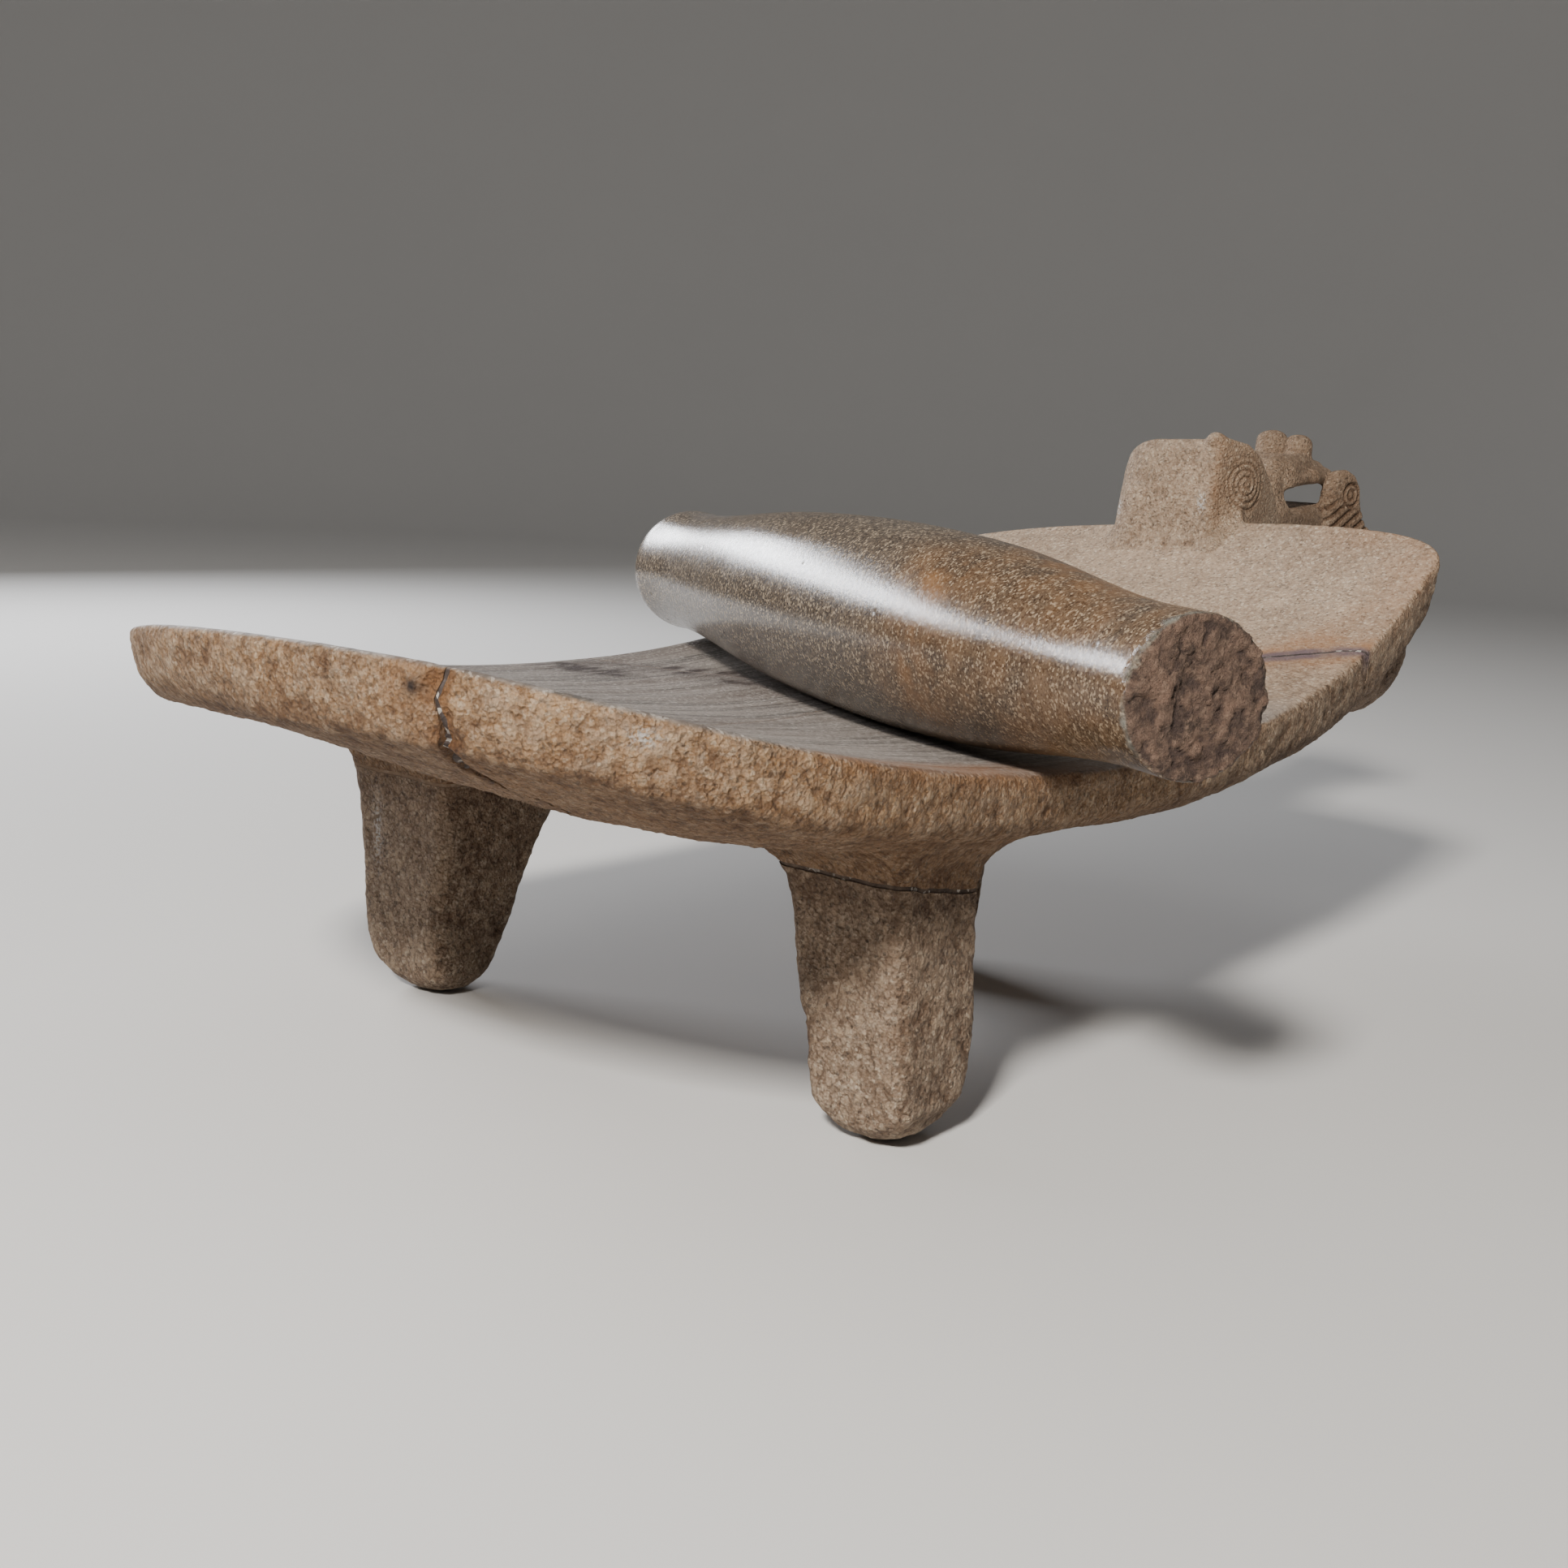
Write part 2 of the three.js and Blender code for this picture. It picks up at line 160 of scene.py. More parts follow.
def top_of(x, y):
    u = np.maximum((x - 80) / (LEN / 2 - 80), 0) ** 2 * (y / (WID / 2))
    xs = x - SKEW * u
    z = dish(xs) + TWIST * u - (3.9 + 0.008 * y) * step(212, 300, xs)
    return z - DROP * (np.minimum(x, 0) / (LEN / 2)) ** 2 * np.maximum(0, (y + 77) / 237), xs


def plate(x, y, z):
    top, xs = top_of(x, y)
    d2 = outline(xs, y)
    k = np.sqrt(1 + slope(xs) ** 2)
    t = xs / (LEN / 2)
    e = 19.0 + np.where(t < 0, 6.0, 12.5) * t * t - 2.6 * step(212, 300, xs)
    p = (np.maximum(-LEN / 2 + NEAR_CAP - xs, 0) / NEAR_CAP) ** 2
    q = (np.abs(y) / (WID / 2)) ** 2
    w = np.clip(-d2 / (WID / 2 + 150.0 * p / (p + q + 0.02)), 0, 1)
    deep = 1 + 0.24 * step(-40, 60, x) * step(30, -50, y)
    tip = step(-190, -290, x) * step(-30, 60, y)
    belly = deep * (1 - 0.72 * step(-140, -232, x) * step(-40, 50, y)) * (14.5 - 3.5 * y / (WID / 2)) * (1 - (1 - w) ** (5 + 2.5 * step(-40, 60, x) * step(30, -50, y)))
    up = (z - top) / k
    down = (top - e - belly - z) / k
    kk = np.clip((top - z) / e, 0, 2)
    side = d2 + (2.2 + 5.0 * tip) * kk * kk
    f = smax(up, side, 4.5)
    return smax(f, down, 3.5 + 5.0 * tip)


LEG_RIGHT = np.array([
    [0, -140, -118, -132, -112], [2.5, -145.5, -114.5, -137, -108], [7, -149, -109.5, -141.5, -104.5],
    [14, -150, -105, -143.8, -101.5], [26, -150, -101.5, -143, -98.3], [46, -150, -98.5, -141.4, -94.0],
    [66, -150, -98.5, -139.8, -90.4], [82, -150.5, -99, -139, -88], [92, -151.5, -98.5, -139, -85],
    [98.6, -153, -96, -139.5, -80.5], [107, -157, -90, -142, -73], [120, -164, -80, -146, -64]])
LEG_LEFT = np.array([
    [0, -139, -121, 103, 125], [2.5, -145, -119, 98.5, 130], [7, -149, -116, 95.5, 136],
    [14, -150, -112, 94.6, 140.5], [26, -150, -107, 94.6, 144], [46, -150, -100, 94, 147.3],
    [66, -150, -92, 92.5, 149.5], [82, -150.5, -84, 91, 151], [92, -151.5, -76, 89.6, 152],
    [98.6, -153, -71.5, 87.5, 153], [107, -157, -62, 82, 154.5], [120, -164, -50, 76, 155.5]])
LEG_HEAD = np.array([
    [0, 52, 80, -16, 17], [2.5, 47.5, 84, -20, 21], [7, 44.5, 87, -23, 24],
    [14, 42.5, 88.5, -24.5, 26], [26, 41, 89.5, -25.5, 27], [46, 40, 90, -26, 27.5],
    [66, 39.5, 90.5, -26.5, 28], [82, 39, 91, -27, 28.5], [92, 38, 92, -28, 30],
    [98.6, 36.5, 94, -29.5, 32], [107, 34.5, 98, -33, 36], [120, 32, 104, -37, 40]])


def leg(x, y, z, rows, r=7.0):
    v = [np.interp(z, rows[:, 0], rows[:, i]) for i in (1, 2, 3, 4)]
    cx, hx, cy, hy = (v[0] + v[1]) / 2, (v[1] - v[0]) / 2, (v[2] + v[3]) / 2, (v[3] - v[2]) / 2
    qx, qy = np.abs(x - cx) - hx + r, np.abs(y - cy) - hy + r
    d = np.sqrt(np.maximum(qx, 0) ** 2 + np.maximum(qy, 0) ** 2) + np.minimum(np.maximum(qx, qy), 0) - r
    foot = [rows[0, i] for i in (1, 2, 3, 4)]
    away = np.sqrt((x - (foot[0] + foot[1]) / 2) ** 2 + (y - (foot[2] + foot[3]) / 2) ** 2)
    d = smax(d, 0.026 * np.maximum(away - 5.5, 0) ** 2 - z, 4.0)
    return np.maximum(d, z - 117)


BOLSTER = np.array([[206, 150], [210, 134], [228, 126.5], [250, 122.5], [283, 120.7], [298, 124], [312, 132], [320, 142],
                    [321.5, 156], [318, 170], [309, 184], [300, 192], [250, 170]], float)


def polygon(px, pz, P):
    d = None
    inside = None
    n = len(P)
    for i in range(n):
        a, b = P[i], P[(i + 1) % n]
        ex, ez = b[0] - a[0], b[1] - a[1]
        wx, wz = px - a[0], pz - a[1]
        t = np.clip((wx * ex + wz * ez) / (ex * ex + ez * ez), 0, 1)
        dd = (wx - ex * t) ** 2 + (wz - ez * t) ** 2
        d = dd if d is None else np.minimum(d, dd)
        c = ((a[1] > pz) != (b[1] > pz)) & (px < (b[0] - a[0]) * (pz - a[1]) / (b[1] - a[1] + 1e-12) + a[0])
        inside = c if inside is None else inside ^ c
    return np.where(inside, -1.0, 1.0) * np.sqrt(d)


def bolster(x, y, z):
    f = 1 - 0.32 * np.maximum(0, (np.abs(y) / 140 - 0.8) / 0.2) ** 2
    d = polygon(262 + (x - 262) / f, 164 + (z - 164) / f, BOLSTER)
    return smax(d + 3.0, np.abs(y) - 139, 14.0) - 2.6


def table(x, y, z):
    f = plate(x, y, z)
    f = smin(f, leg(x, y, z, LEG_RIGHT), 11.0)
    f = smin(f, leg(x, y, z, LEG_LEFT), 11.0)
    f = smin(f, leg(x, y, z, LEG_HEAD), 11.0)
    f = smin(f, bolster(x, y, z), 13.0)
    # uneven hand-made surfaces, the ground top far less than the rest
    top, xs = top_of(x, y)
    m = step(-9.0, 0.5, z - top)
    w = (1 - m * 0.88)
    f = f + w * (0.9 * noise(x, y, z, 55.0, 1) + 0.5 * noise(x, y, z, 21.0, 2)) + 0.25 * m * noise(x, y, z, 90.0, 3)
    return f


# ------------------------------------------------------------------ the head
BLOCK = np.array([[291, 176], [320, 182], [360, 185], [376, 190], [370, 208], [363.5, 217], [356, 226], [346, 237], [331, 248.7],
                  [318, 255.4], [306, 257.6], [299.5, 256.8], [295, 251], [292.3, 230], [291, 200]], float)
SNOUT = np.array([[366, 196], [420, 205], [452, 213], [464, 224], [467, 236], [465, 245], [456, 251], [432, 253.5],
                  [405, 253], [393, 250], [384, 243], [377, 231], [371, 221], [366, 216]], float)
JAW = np.array([[350, 186], [420, 188], [470, 193], [498, 200], [508, 207], [506, 213], [494, 219], [470, 221.5],
                [440, 223.5], [408, 224.5], [380, 221], [356, 214]], float)
NECK = np.array([[336, 190], [400, 190], [402, 234], [390, 226], [376, 218.5], [360, 216], [346, 219], [336, 224]], float)
WHORL = np.array([[444, 196], [442, 218], [442.5, 232], [445.5, 240.5], [450, 245.4], [456, 246.2], [462, 243.4], [467, 236], [468.5, 226], [474, 215], [484.5, 206], [487.8, 202.4], [488.6, 199.4], [486.5, 196.8], [481, 196]], float)
EYE = (317.5, 234.6)      # middle of the spiral on the head's side (x, z)


def ball(x, y, z, c, r):
    q = np.sqrt(((x - c[0]) / r[0]) ** 2 + ((y - c[1]) / r[1]) ** 2 + ((z - c[2]) / r[2]) ** 2)
    return (q - 1) * min(r)


def rod(x, y, z, a, b, r):
    a, b = np.array(a, float), np.array(b, float)
    e = b - a
    t = np.clip(((x - a[0]) * e[0] + (y - a[1]) * e[1] + (z - a[2]) * e[2]) / (e @ e), 0, 1)
    return np.sqrt((x - a[0] - e[0] * t) ** 2 + (y - a[1] - e[1] * t) ** 2 + (z - a[2] - e[2] * t) ** 2) - r


def head(x, y, z):
    ay = np.abs(y)
    # back block: narrower at the back and at the top, its +Y shoulder well rounded
    half = np.where(y < 0, 25.5 + 10.0 * step(286, 328, x), 33.0 + 2.5 * step(292, 306, x) + 3.5 * step(250, 196, z) - 3.0 * step(236, 260, z))
    soft = 4.0 + 14.0 * step(-4, 8, y)
    b = smax(polygon(x, z + 0.045 * y, BLOCK) + 2.5, ay - half + 2.5, soft) - 2.5
    b = smin(b, ball(x, y, z, (299.5, -21.5, 257.4), (6.5, 5.0, 4.6)), 4.0)
    # hollow between the block and the snout
    neck = smax(polygon(x, z, NECK) + 3, ay - 27.0 + 3, 8.0) - 3
    # snout, wider below, its muzzle swelling out over the mouth
    sh = 24.5 - 0.10 * (z - 215) + 1.5 * step(425, 455, x) * step(250, 240, z)
    s = smax(polygon(x, z, SNOUT) + 5, ay - sh + 5, 10.0) - 5
    for ky, r, top in ((-8.2, 8.5, 266.6), (9.0, 9.7, 268.2)):
        knob = smax(rod(x, y, z, (439.5, ky * 1.05, 236), (441.5, ky, top - 8.0), r), z - top + 0.016 * ((x - 441) ** 2 + (y - ky) ** 2), 4.0)
        knob = knob + 0.8 * noise(x, y, z, 9.0, 71)
        s = smin(s, knob, 2.4)
    for k in (-1, 1):
        # upper lip, a thick roll
        s = smin(s, rod(x, y, z, (399, 20.5 * k, 236.4), (430, 23.0 * k, 240.2), 4.8), 4.0)
        s = smin(s, rod(x, y, z, (430, 23.0 * k, 240.0), (458, 20 * k, 240.0), 5.4), 3.0)
        s = smin(s, rod(x, y, z, (458, 20 * k, 240.0), (467, 8 * k, 239.6), 5.2), 3.0)
        # brow
        s = smin(s, rod(x, y, z, (433, 12.5 * k, 247.5), (404, 19.0 * k, 242.0), 5.4), 4.0)
    s = smin(s, rod(x, y, z, (467, -8, 239.6), (467, 8, 239.6), 5.2), 3.0)
    # lower jaw
    jh = 29.0 - 4.0 * step(440, 505, x)
    j = smax(polygon(x, z, JAW) + 4, ay - jh + 4, 9.0) - 4
    h = smin(smin(b, neck, 9.0), smin(s, j, 5.0), 6.0)
    # open mouth, right through and open in front
    mid = 229.7 + 0.085 * (x - 430) - 0.0008 * (x - 430) ** 2
    gape = smax(np.abs(z - mid) - 6.7, 392.5 - x, 9.0)
    h = smax(h, -gape, 3.0)
    # whorls beside the mouth, on their flanges
    for k in (-1, 1):
        w = smax(polygon(x, z, WHORL) + 3, (np.abs(y - (29.2 + 0.38 * (x - 446)) * k) - 4.7) * 0.93 + 3, 4.5) - 3
        h = smin(h, w, 4.0)
    return h


def head_carving(x, y, z, ny):
    """How far the carved lines go in, at points of the head's surface."""
    side = step(0.45, 0.8, np.abs(ny))
    wav = 0.05 * noise(x, y * 0, z, 9.0, 72)
    dx, dz = (x - EYE[0]) / 15.2, (z - EYE[1]) / 14.3
    r, a = np.sqrt(dx * dx + dz * dz) + wav, np.arctan2(dz, dx)
    turn = r * 4.0 - a / (2 * math.pi)
    line = np.abs(turn - np.round(turn))
    d = 0.85 * (1 - step(0.05, 0.34, line)) * (1 - step(0.98, 1.06, r)) * step(0.04, 0.1, r) * side
    rim = np.abs(r - 1.06)
    d += 0.4 * (1 - step(0.02, 0.08, rim)) * side
    # loop on each whorl
    wx, wz = (x - 458.5) / 5.8, (z - 231.2) / 6.8
    q = np.sqrt(wx * wx + wz * wz)
    out = step(0.3, 0.6, np.abs(ny)) * (np.abs(y) > 24)
    d += 1.5 * (1 - step(0.06, 0.2, np.abs(q - 1))) * out + 1.1 * (1 - step(0.08, 0.24, np.abs(q - 0.42))) * out
    # slanting bands below it
    v = ((x - 440) * -0.62 + (z - 214) * 0.80) / 5.6
    band = np.abs(v - np.round(v))
    d += 1.4 * (1 - step(0.10, 0.30, band)) * step(438, 444, x) * (1 - step(474, 482, x)) * step(1.15, 1.35, q) * (1 - step(222, 230, z + 0.3 * (x - 452))) * (np.abs(y) > 22)
    return d


# ------------------------------------------------------------------ meshing
def mesh_field(fn, lo, hi, vox, rounds=2):
    """Surface of fn = 0 as quads, with its points moved on to the true surface."""
    lo, hi = np.array(lo, float), np.array(hi, float)
    n = np.ceil((hi - lo) / vox).astype(int) + 1
    xs = (lo[0] + vox * np.arange(n[0])).astype(np.float32)
    ys = (lo[1] + vox * np.arange(n[1])).astype(np.float32)
    zs = (lo[2] + vox * np.arange(n[2])).astype(np.float32)
    F = np.empty(tuple(n), np.float32)
    block = 48
    for i in range(0, n[0], block):
        F[i:i + block] = fn(xs[i:i + block, None, None], ys[None, :, None], zs[None, None, :])
    F[0], F[-1] = np.maximum(F[0], vox), np.maximum(F[-1], vox)
    F[:, 0], F[:, -1] = np.maximum(F[:, 0], vox), np.maximum(F[:, -1], vox)
    F[:, :, 0], F[:, :, -1] = np.maximum(F[:, :, 0], vox), np.maximum(F[:, :, -1], vox)
    g = openvdb.FloatGrid(3.0 * vox)
    g.copyFromArray(np.clip(F, -3 * vox, 3 * vox))
    pts, quads = g.convertToQuads(0.0)
    P = np.array(pts, np.float64) * vox + lo
    Q = np.array(quads, np.int64)
    for _ in range(rounds):
        f, G = grad(fn, P)
        g2 = np.maximum((G * G).sum(1), 0.05)
        s = np.clip(f / g2, -vox, vox)
        P -= s[:, None] * G
    return P, Q


def grad(fn, P, e=0.35):
    x, y, z = P.T
    f = fn(x, y, z)
    G = np.stack([fn(x + e, y, z) - fn(x - e, y, z), fn(x, y + e, z) - fn(x, y - e, z), fn(x, y, z + e) - fn(x, y, z - e)], 1) / (2 * e)
    return f, G


def unit(G):
    return G / np.maximum(np.linalg.norm(G, axis=1), 1e-9)[:, None]


def make_mesh(name, P, faces):
    """A mesh datablock in metres in the shared frame. faces is one array, or a list of arrays."""
    me = bpy.data.meshes.new(name)
    faces = faces if isinstance(faces, list) else [faces]
    V = np.array(P, np.float64)
    V = np.stack([V[:, 0] - OX, V[:, 1] - OY, V[:, 2]], 1) / 1000.0
    me.vertices.add(len(V))
    me.vertices.foreach_set("co", V.astype(np.float32).ravel())
    loops = np.concatenate([f.ravel() for f in faces]).astype(np.int32)
    sizes = np.concatenate([np.full(len(f), f.shape[1]) for f in faces]).astype(np.int32)
    me.loops.add(len(loops))
    me.loops.foreach_set("vertex_index", loops)
    me.polygons.add(len(sizes))
    starts = np.concatenate([[0], np.cumsum(sizes)[:-1]]).astype(np.int32)
    me.polygons.foreach_set("loop_start", starts)
    me.polygons.foreach_set("loop_total", sizes)
    me.update(calc_edges=True)
    me.validate()
    return me


def make_object(name, me):
    ob = bpy.data.objects.new(name, me)
    bpy.context.scene.collection.objects.link(ob)
    return ob


def coords(me):
    """The points of a mesh, in millimetres from the middle of the plate."""
    a = np.empty(len(me.vertices) * 3, np.float32)
    me.vertices.foreach_get("co", a)
    a = a.reshape(-1, 3).astype(np.float64) * 1000.0
    a[:, 0] += OX; a[:, 1] += OY
    return a


def normals(me):
    a = np.empty(len(me.vertices) * 3, np.float32)
    me.vertex_normals.foreach_get("vector", a)
    return a.reshape(-1, 3).astype(np.float64)


def attribute(me, name, values):
    at = me.attributes.new(name, "FLOAT", "POINT")
    at.data.foreach_set("value", np.asarray(values, np.float32))


def flip_out(me):
    bm = bmesh.new(); bm.from_mesh(me)
    bmesh.ops.recalc_face_normals(bm, faces=bm.faces)
    if bm.calc_volume(signed=True) < 0:
        bmesh.ops.reverse_faces(bm, faces=bm.faces)
    bm.to_mesh(me); bm.free()


def cut(me, operation, *cutters):
    """me after one boolean with each cutter mesh in turn."""
    ob = make_object("work", me)
    tools = []
    for c in cutters:
        t = make_object("tool", c)
        t.hide_render = True
        m = ob.modifiers.new("cut", "BOOLEAN")
        m.solver = "MANIFOLD"; m.operation = operation; m.object = t
        tools.append(t)
    dg = bpy.context.evaluated_depsgraph_get()
    out = bpy.data.meshes.new_from_object(ob.evaluated_get(dg))
    for o in [ob] + tools:
        bpy.data.objects.remove(o)
    return out


def biggest_only(me):
    """Drops loose crumbs that a cut leaves behind."""
    bm = bmesh.new(); bm.from_mesh(me)
    bm.verts.ensure_lookup_table()
    seen, groups = set(), []
    for v in bm.verts:
        if v.index in seen:
            continue
        stack, g = [v], []
        seen.add(v.index)
        while stack:
            q = stack.pop(); g.append(q)
            for e in q.link_edges:
                o = e.other_vert(q)
                if o.index not in seen:
                    seen.add(o.index); stack.append(o)
        groups.append(g)
    groups.sort(key=len)
    for g in groups[:-1]:
        bmesh.ops.delete(bm, geom=g, context="VERTS")
    bm.to_mesh(me); bm.free()


# ------------------------------------------------------------------ the breaks
BREAK_DIAGONAL = [(-6, 200), (-2, 160), (0, 125), (3, 100), (9, 78), (14, 60), (20, 38), (24, 12), (30, -16), (46, -40),
                  (84, -63), (128, -88), (158, -105), (174, -114), (184, -133), (190.5, -147), (194, -162), (196, -200)]
BREAK_NEAR = [(-345, -79), (-313, -77.5), (-303, -76), (-262, -73), (-215, -60), (-160, -51), (-105, -30), (-50, -17), (0, -4), (60, 0), (140, 6), (270, 12)]


def dense(path, stepping, wobble):
    P = np.array(path, float)
    s = np.concatenate([[0], np.cumsum(np.linalg.norm(np.diff(P, axis=0), axis=1))])
    t = np.arange(0, s[-1], stepping)
    x, y = np.interp(t, s, P[:, 0]), np.interp(t, s, P[:, 1])
    ker = np.hanning(int(14 / stepping) | 1); ker /= ker.sum()
    pad = len(ker) // 2
    x = np.convolve(np.pad(x, pad, "edge"), ker, "valid"); y = np.convolve(np.pad(y, pad, "edge"), ker, "valid")
    tx, ty = np.gradient(x), np.gradient(y)
    l = np.hypot(tx, ty)
    nx, ny = -ty / l, tx / l
    z0 = np.zeros_like(x)
    w = wobble * (1.5 * noise(x, y, z0, 13.0, 5) + 0.7 * noise(x, y, z0, 5.0, 6) + 0.35 * noise(x, y, z0, 2.2, 7))
    return x + nx * w, y + ny * w, nx, ny


def curtain(path, side, wobble, zs, lean, far):
    """A solid on one side of a break: its one wall follows the break, in a wavy sheet from top to bottom."""
    x, y, nx, ny = path
    nz = len(zs)
    X, Z = np.meshgrid(x, zs, indexing="ij")
    Y, _ = np.meshgrid(y, zs, indexing="ij")
    w = wobble * (1.2 * noise(X, Y, Z * 1.0, 11.0, 8) + 0.5 * noise(X, Y, Z, 4.0, 9)) + lean(X, Z) + side
    A = np.stack([X + nx[:, None] * w, Y + ny[:, None] * w, Z], -1)
    B = A.copy()
    if far[0] is not None: B[..., 0] = far[0]
    if far[1] is not None: B[..., 1] = far[1]
    n = len(x)
    V = np.concatenate([A.reshape(-1, 3), B.reshape(-1, 3)])
    idx = np.arange(n * nz).reshape(n, nz)
    o = n * nz
    q = []
    def strip(a, b, c, d):
        q.append(np.stack([a.ravel(), b.ravel(), c.ravel(), d.ravel()], 1))
    strip(idx[:-1, :-1], idx[1:, :-1], idx[1:, 1:], idx[:-1, 1:])
    strip(idx[:-1, :-1] + o, idx[:-1, 1:] + o, idx[1:, 1:] + o, idx[1:, :-1] + o)
    strip(idx[:-1, 0], idx[:-1, 0] + o, idx[1:, 0] + o, idx[1:, 0])
    strip(idx[:-1, -1], idx[1:, -1], idx[1:, -1] + o, idx[:-1, -1] + o)
    strip(idx[0, :-1], idx[0, 1:], idx[0, 1:] + o, idx[0, :-1] + o)
    strip(idx[-1, :-1], idx[-1, :-1] + o, idx[-1, 1:] + o, idx[-1, 1:])
    me = make_mesh("curtain", V, np.concatenate(q))
    flip_out(me)
    return me


def sheet_between(path, half, wobble, zs, lean):
    """The thin solid between the two walls of a break."""
    x, y, nx, ny = path
    nz = len(zs)
    X, Z = np.meshgrid(x, zs, indexing="ij")
    Y, _ = np.meshgrid(y, zs, indexing="ij")
    w = wobble * (1.2 * noise(X, Y, Z * 1.0, 11.0, 8) + 0.5 * noise(X, Y, Z, 4.0, 9)) + lean(X, Z)
    A = np.stack([X + nx[:, None] * (w + half), Y + ny[:, None] * (w + half), Z], -1)
    B = np.stack([X + nx[:, None] * (w - half), Y + ny[:, None] * (w - half), Z], -1)
    n = len(x)
    V = np.concatenate([A.reshape(-1, 3), B.reshape(-1, 3)])
    idx = np.arange(n * nz).reshape(n, nz); o = n * nz
    q = []
    def strip(a, b, c, d):
        q.append(np.stack([a.ravel(), b.ravel(), c.ravel(), d.ravel()], 1))
    strip(idx[:-1, :-1], idx[1:, :-1], idx[1:, 1:], idx[:-1, 1:])
    strip(idx[:-1, :-1] + o, idx[:-1, 1:] + o, idx[1:, 1:] + o, idx[1:, :-1] + o)
    strip(idx[:-1, 0], idx[:-1, 0] + o, idx[1:, 0] + o, idx[1:, 0])
    strip(idx[:-1, -1], idx[1:, -1], idx[1:, -1] + o, idx[:-1, -1] + o)
    strip(idx[0, :-1], idx[0, 1:], idx[0, 1:] + o, idx[0, :-1] + o)
    strip(idx[-1, :-1], idx[-1, :-1] + o, idx[-1, 1:] + o, idx[-1, 1:])
    me = make_mesh("between", V, np.concatenate(q))
    flip_out(me)
    return me


def wavy_slab(x0, x1, y0, y1, low, high, wobble, spacing=2.0):
    """A box whose top and bottom follow an uneven break; low and high are functions of x and y."""
    xs, ys = np.arange(x0, x1 + 0.1, spacing), np.arange(y0, y1 + 0.1, spacing)
    X, Y = np.meshgrid(xs, ys, indexing="ij")
    w = wobble * (1.3 * noise(X, Y, X * 0, 14.0, 21) + 0.6 * noise(X, Y, X * 0, 5.0, 22))
    A = np.stack([X, Y, low(X, Y) + w], -1); B = np.stack([X, Y, high(X, Y) + w], -1)
    n, m = X.shape
    V = np.concatenate([A.reshape(-1, 3), B.reshape(-1, 3)])
    idx = np.arange(n * m).reshape(n, m); o = n * m
    q = []
    def strip(a, b, c, d):
        q.append(np.stack([a.ravel(), b.ravel(), c.ravel(), d.ravel()], 1))
    strip(idx[:-1, :-1], idx[:-1, 1:], idx[1:, 1:], idx[1:, :-1])
    strip(idx[:-1, :-1] + o, idx[1:, :-1] + o, idx[1:, 1:] + o, idx[:-1, 1:] + o)
    strip(idx[:-1, 0], idx[1:, 0], idx[1:, 0] + o, idx[:-1, 0] + o)
    strip(idx[:-1, -1], idx[:-1, -1] + o, idx[1:, -1] + o, idx[1:, -1])
    strip(idx[0, :-1], idx[0, :-1] + o, idx[0, 1:] + o, idx[0, 1:])
    strip(idx[-1, :-1], idx[-1, 1:], idx[-1, 1:] + o, idx[-1, :-1] + o)
    me = make_mesh("slab", V, np.concatenate(q))
    flip_out(me)
    return me


DIAG = dense(BREAK_DIAGONAL, 1.2, 0.9)
NEARB = dense(BREAK_NEAR, 1.2, 0.8)
ZS = np.concatenate([[-14.0, 28.0], np.arange(70, 262, 2.0)])


def lean_diag(X, Z):
    return 0.35 * np.clip(157 - Z, 0, 25) * step(178, 191, X)


def lean_near(X, Z):
    t = np.interp(Z, [138, 145, 151, 157, 164, 170, 176], [11.0, 6.5, 3.4, 2.6, 4.4, 1.4, 0.0])
    return t * (1 - step(-290, -240, X))


def distance_to(path, x, y, reach):
    """Distance in plan from points to a break, up to reach."""
    px, py = path[0][::2], path[1][::2]
    out = np.full(x.shape, reach, np.float64)
    near = np.where((x > px.min() - reach) & (x < px.max() + reach) & (y > py.min() - reach) & (y < py.max() + reach))[0]
    for s in range(0, len(near), 20000):
        k = near[s:s + 20000]
        d = np.sqrt(((x[k, None] - px[None]) ** 2 + (y[k, None] - py[None]) ** 2).min(1))
        out[k] = np.minimum(out[k], d)
    return out


# ------------------------------------------------------------------ build the table
P, Q = mesh_field(table, (-322, -170, -6), (336, 172, 232), VOX)
N = unit(grad(table, P)[1])
x, y, z = P.T
top, xs_ = top_of(x, y)
above = step(0.55, 0.9, N[:, 2]) * step(-7, -2.5, z - top)            # the ground face
on_leg = step(-104, -99, -z)
# pecked relief: coarse on the edges, finer on the legs' fronts, almost none on the ground face
c1, v1 = cells(x, y * 0.85, z, 5.6, 1)
c2, v2 = cells(x, y, z, 3.6, 2)
rough = 0.92 * (c1 - 0.55) + 0.18 * v1 + 0.52 * (c2 - 0.55) + 0.34 * fbm(x, y, z, 12.0, 3, 0.5, 4)
front = step(0.55, 0.9, -N[:, 0])
amount = (1 - above) * (1.0 - 0.45 * front * on_leg)
h = amount * rough + above * (0.05 * fbm(x, y, z, 7.0, 2, 0.5, 6))
# the pecking on the -Y edge and on the leg sides runs in slanting strokes
stroke = noise(x * 0.55 + z * 0.55, y, (z - x) * 0.25, 3.4, 12)
h = h + 0.16 * stroke * amount * step(0.35, 0.8, -N[:, 1])
bx, by = np.interp(z, [138, 145, 151, 157, 164, 170, 176], [11.0, 6.5, 3.4, 2.6, 4.4, 1.4, 0.0]), -77.5
crack = np.abs(y - (by + bx)) + 1.1 * noise(x, y, z, 5.0, 61)
chips = (x < -268) * step(130, 140, z) * (1 - step(1.0, 3.2, crack)) * (1 - 0.85 * above)
gouge = (x < -268) * (np.exp(-((y + 79.5 - bx) / 3.2) ** 2 - ((z - 152) / 3.2) ** 2) + 0.8 * np.exp(-((y + 73.0 - bx) / 2.4) ** 2 - ((z - 168.5) / 5.0) ** 2))
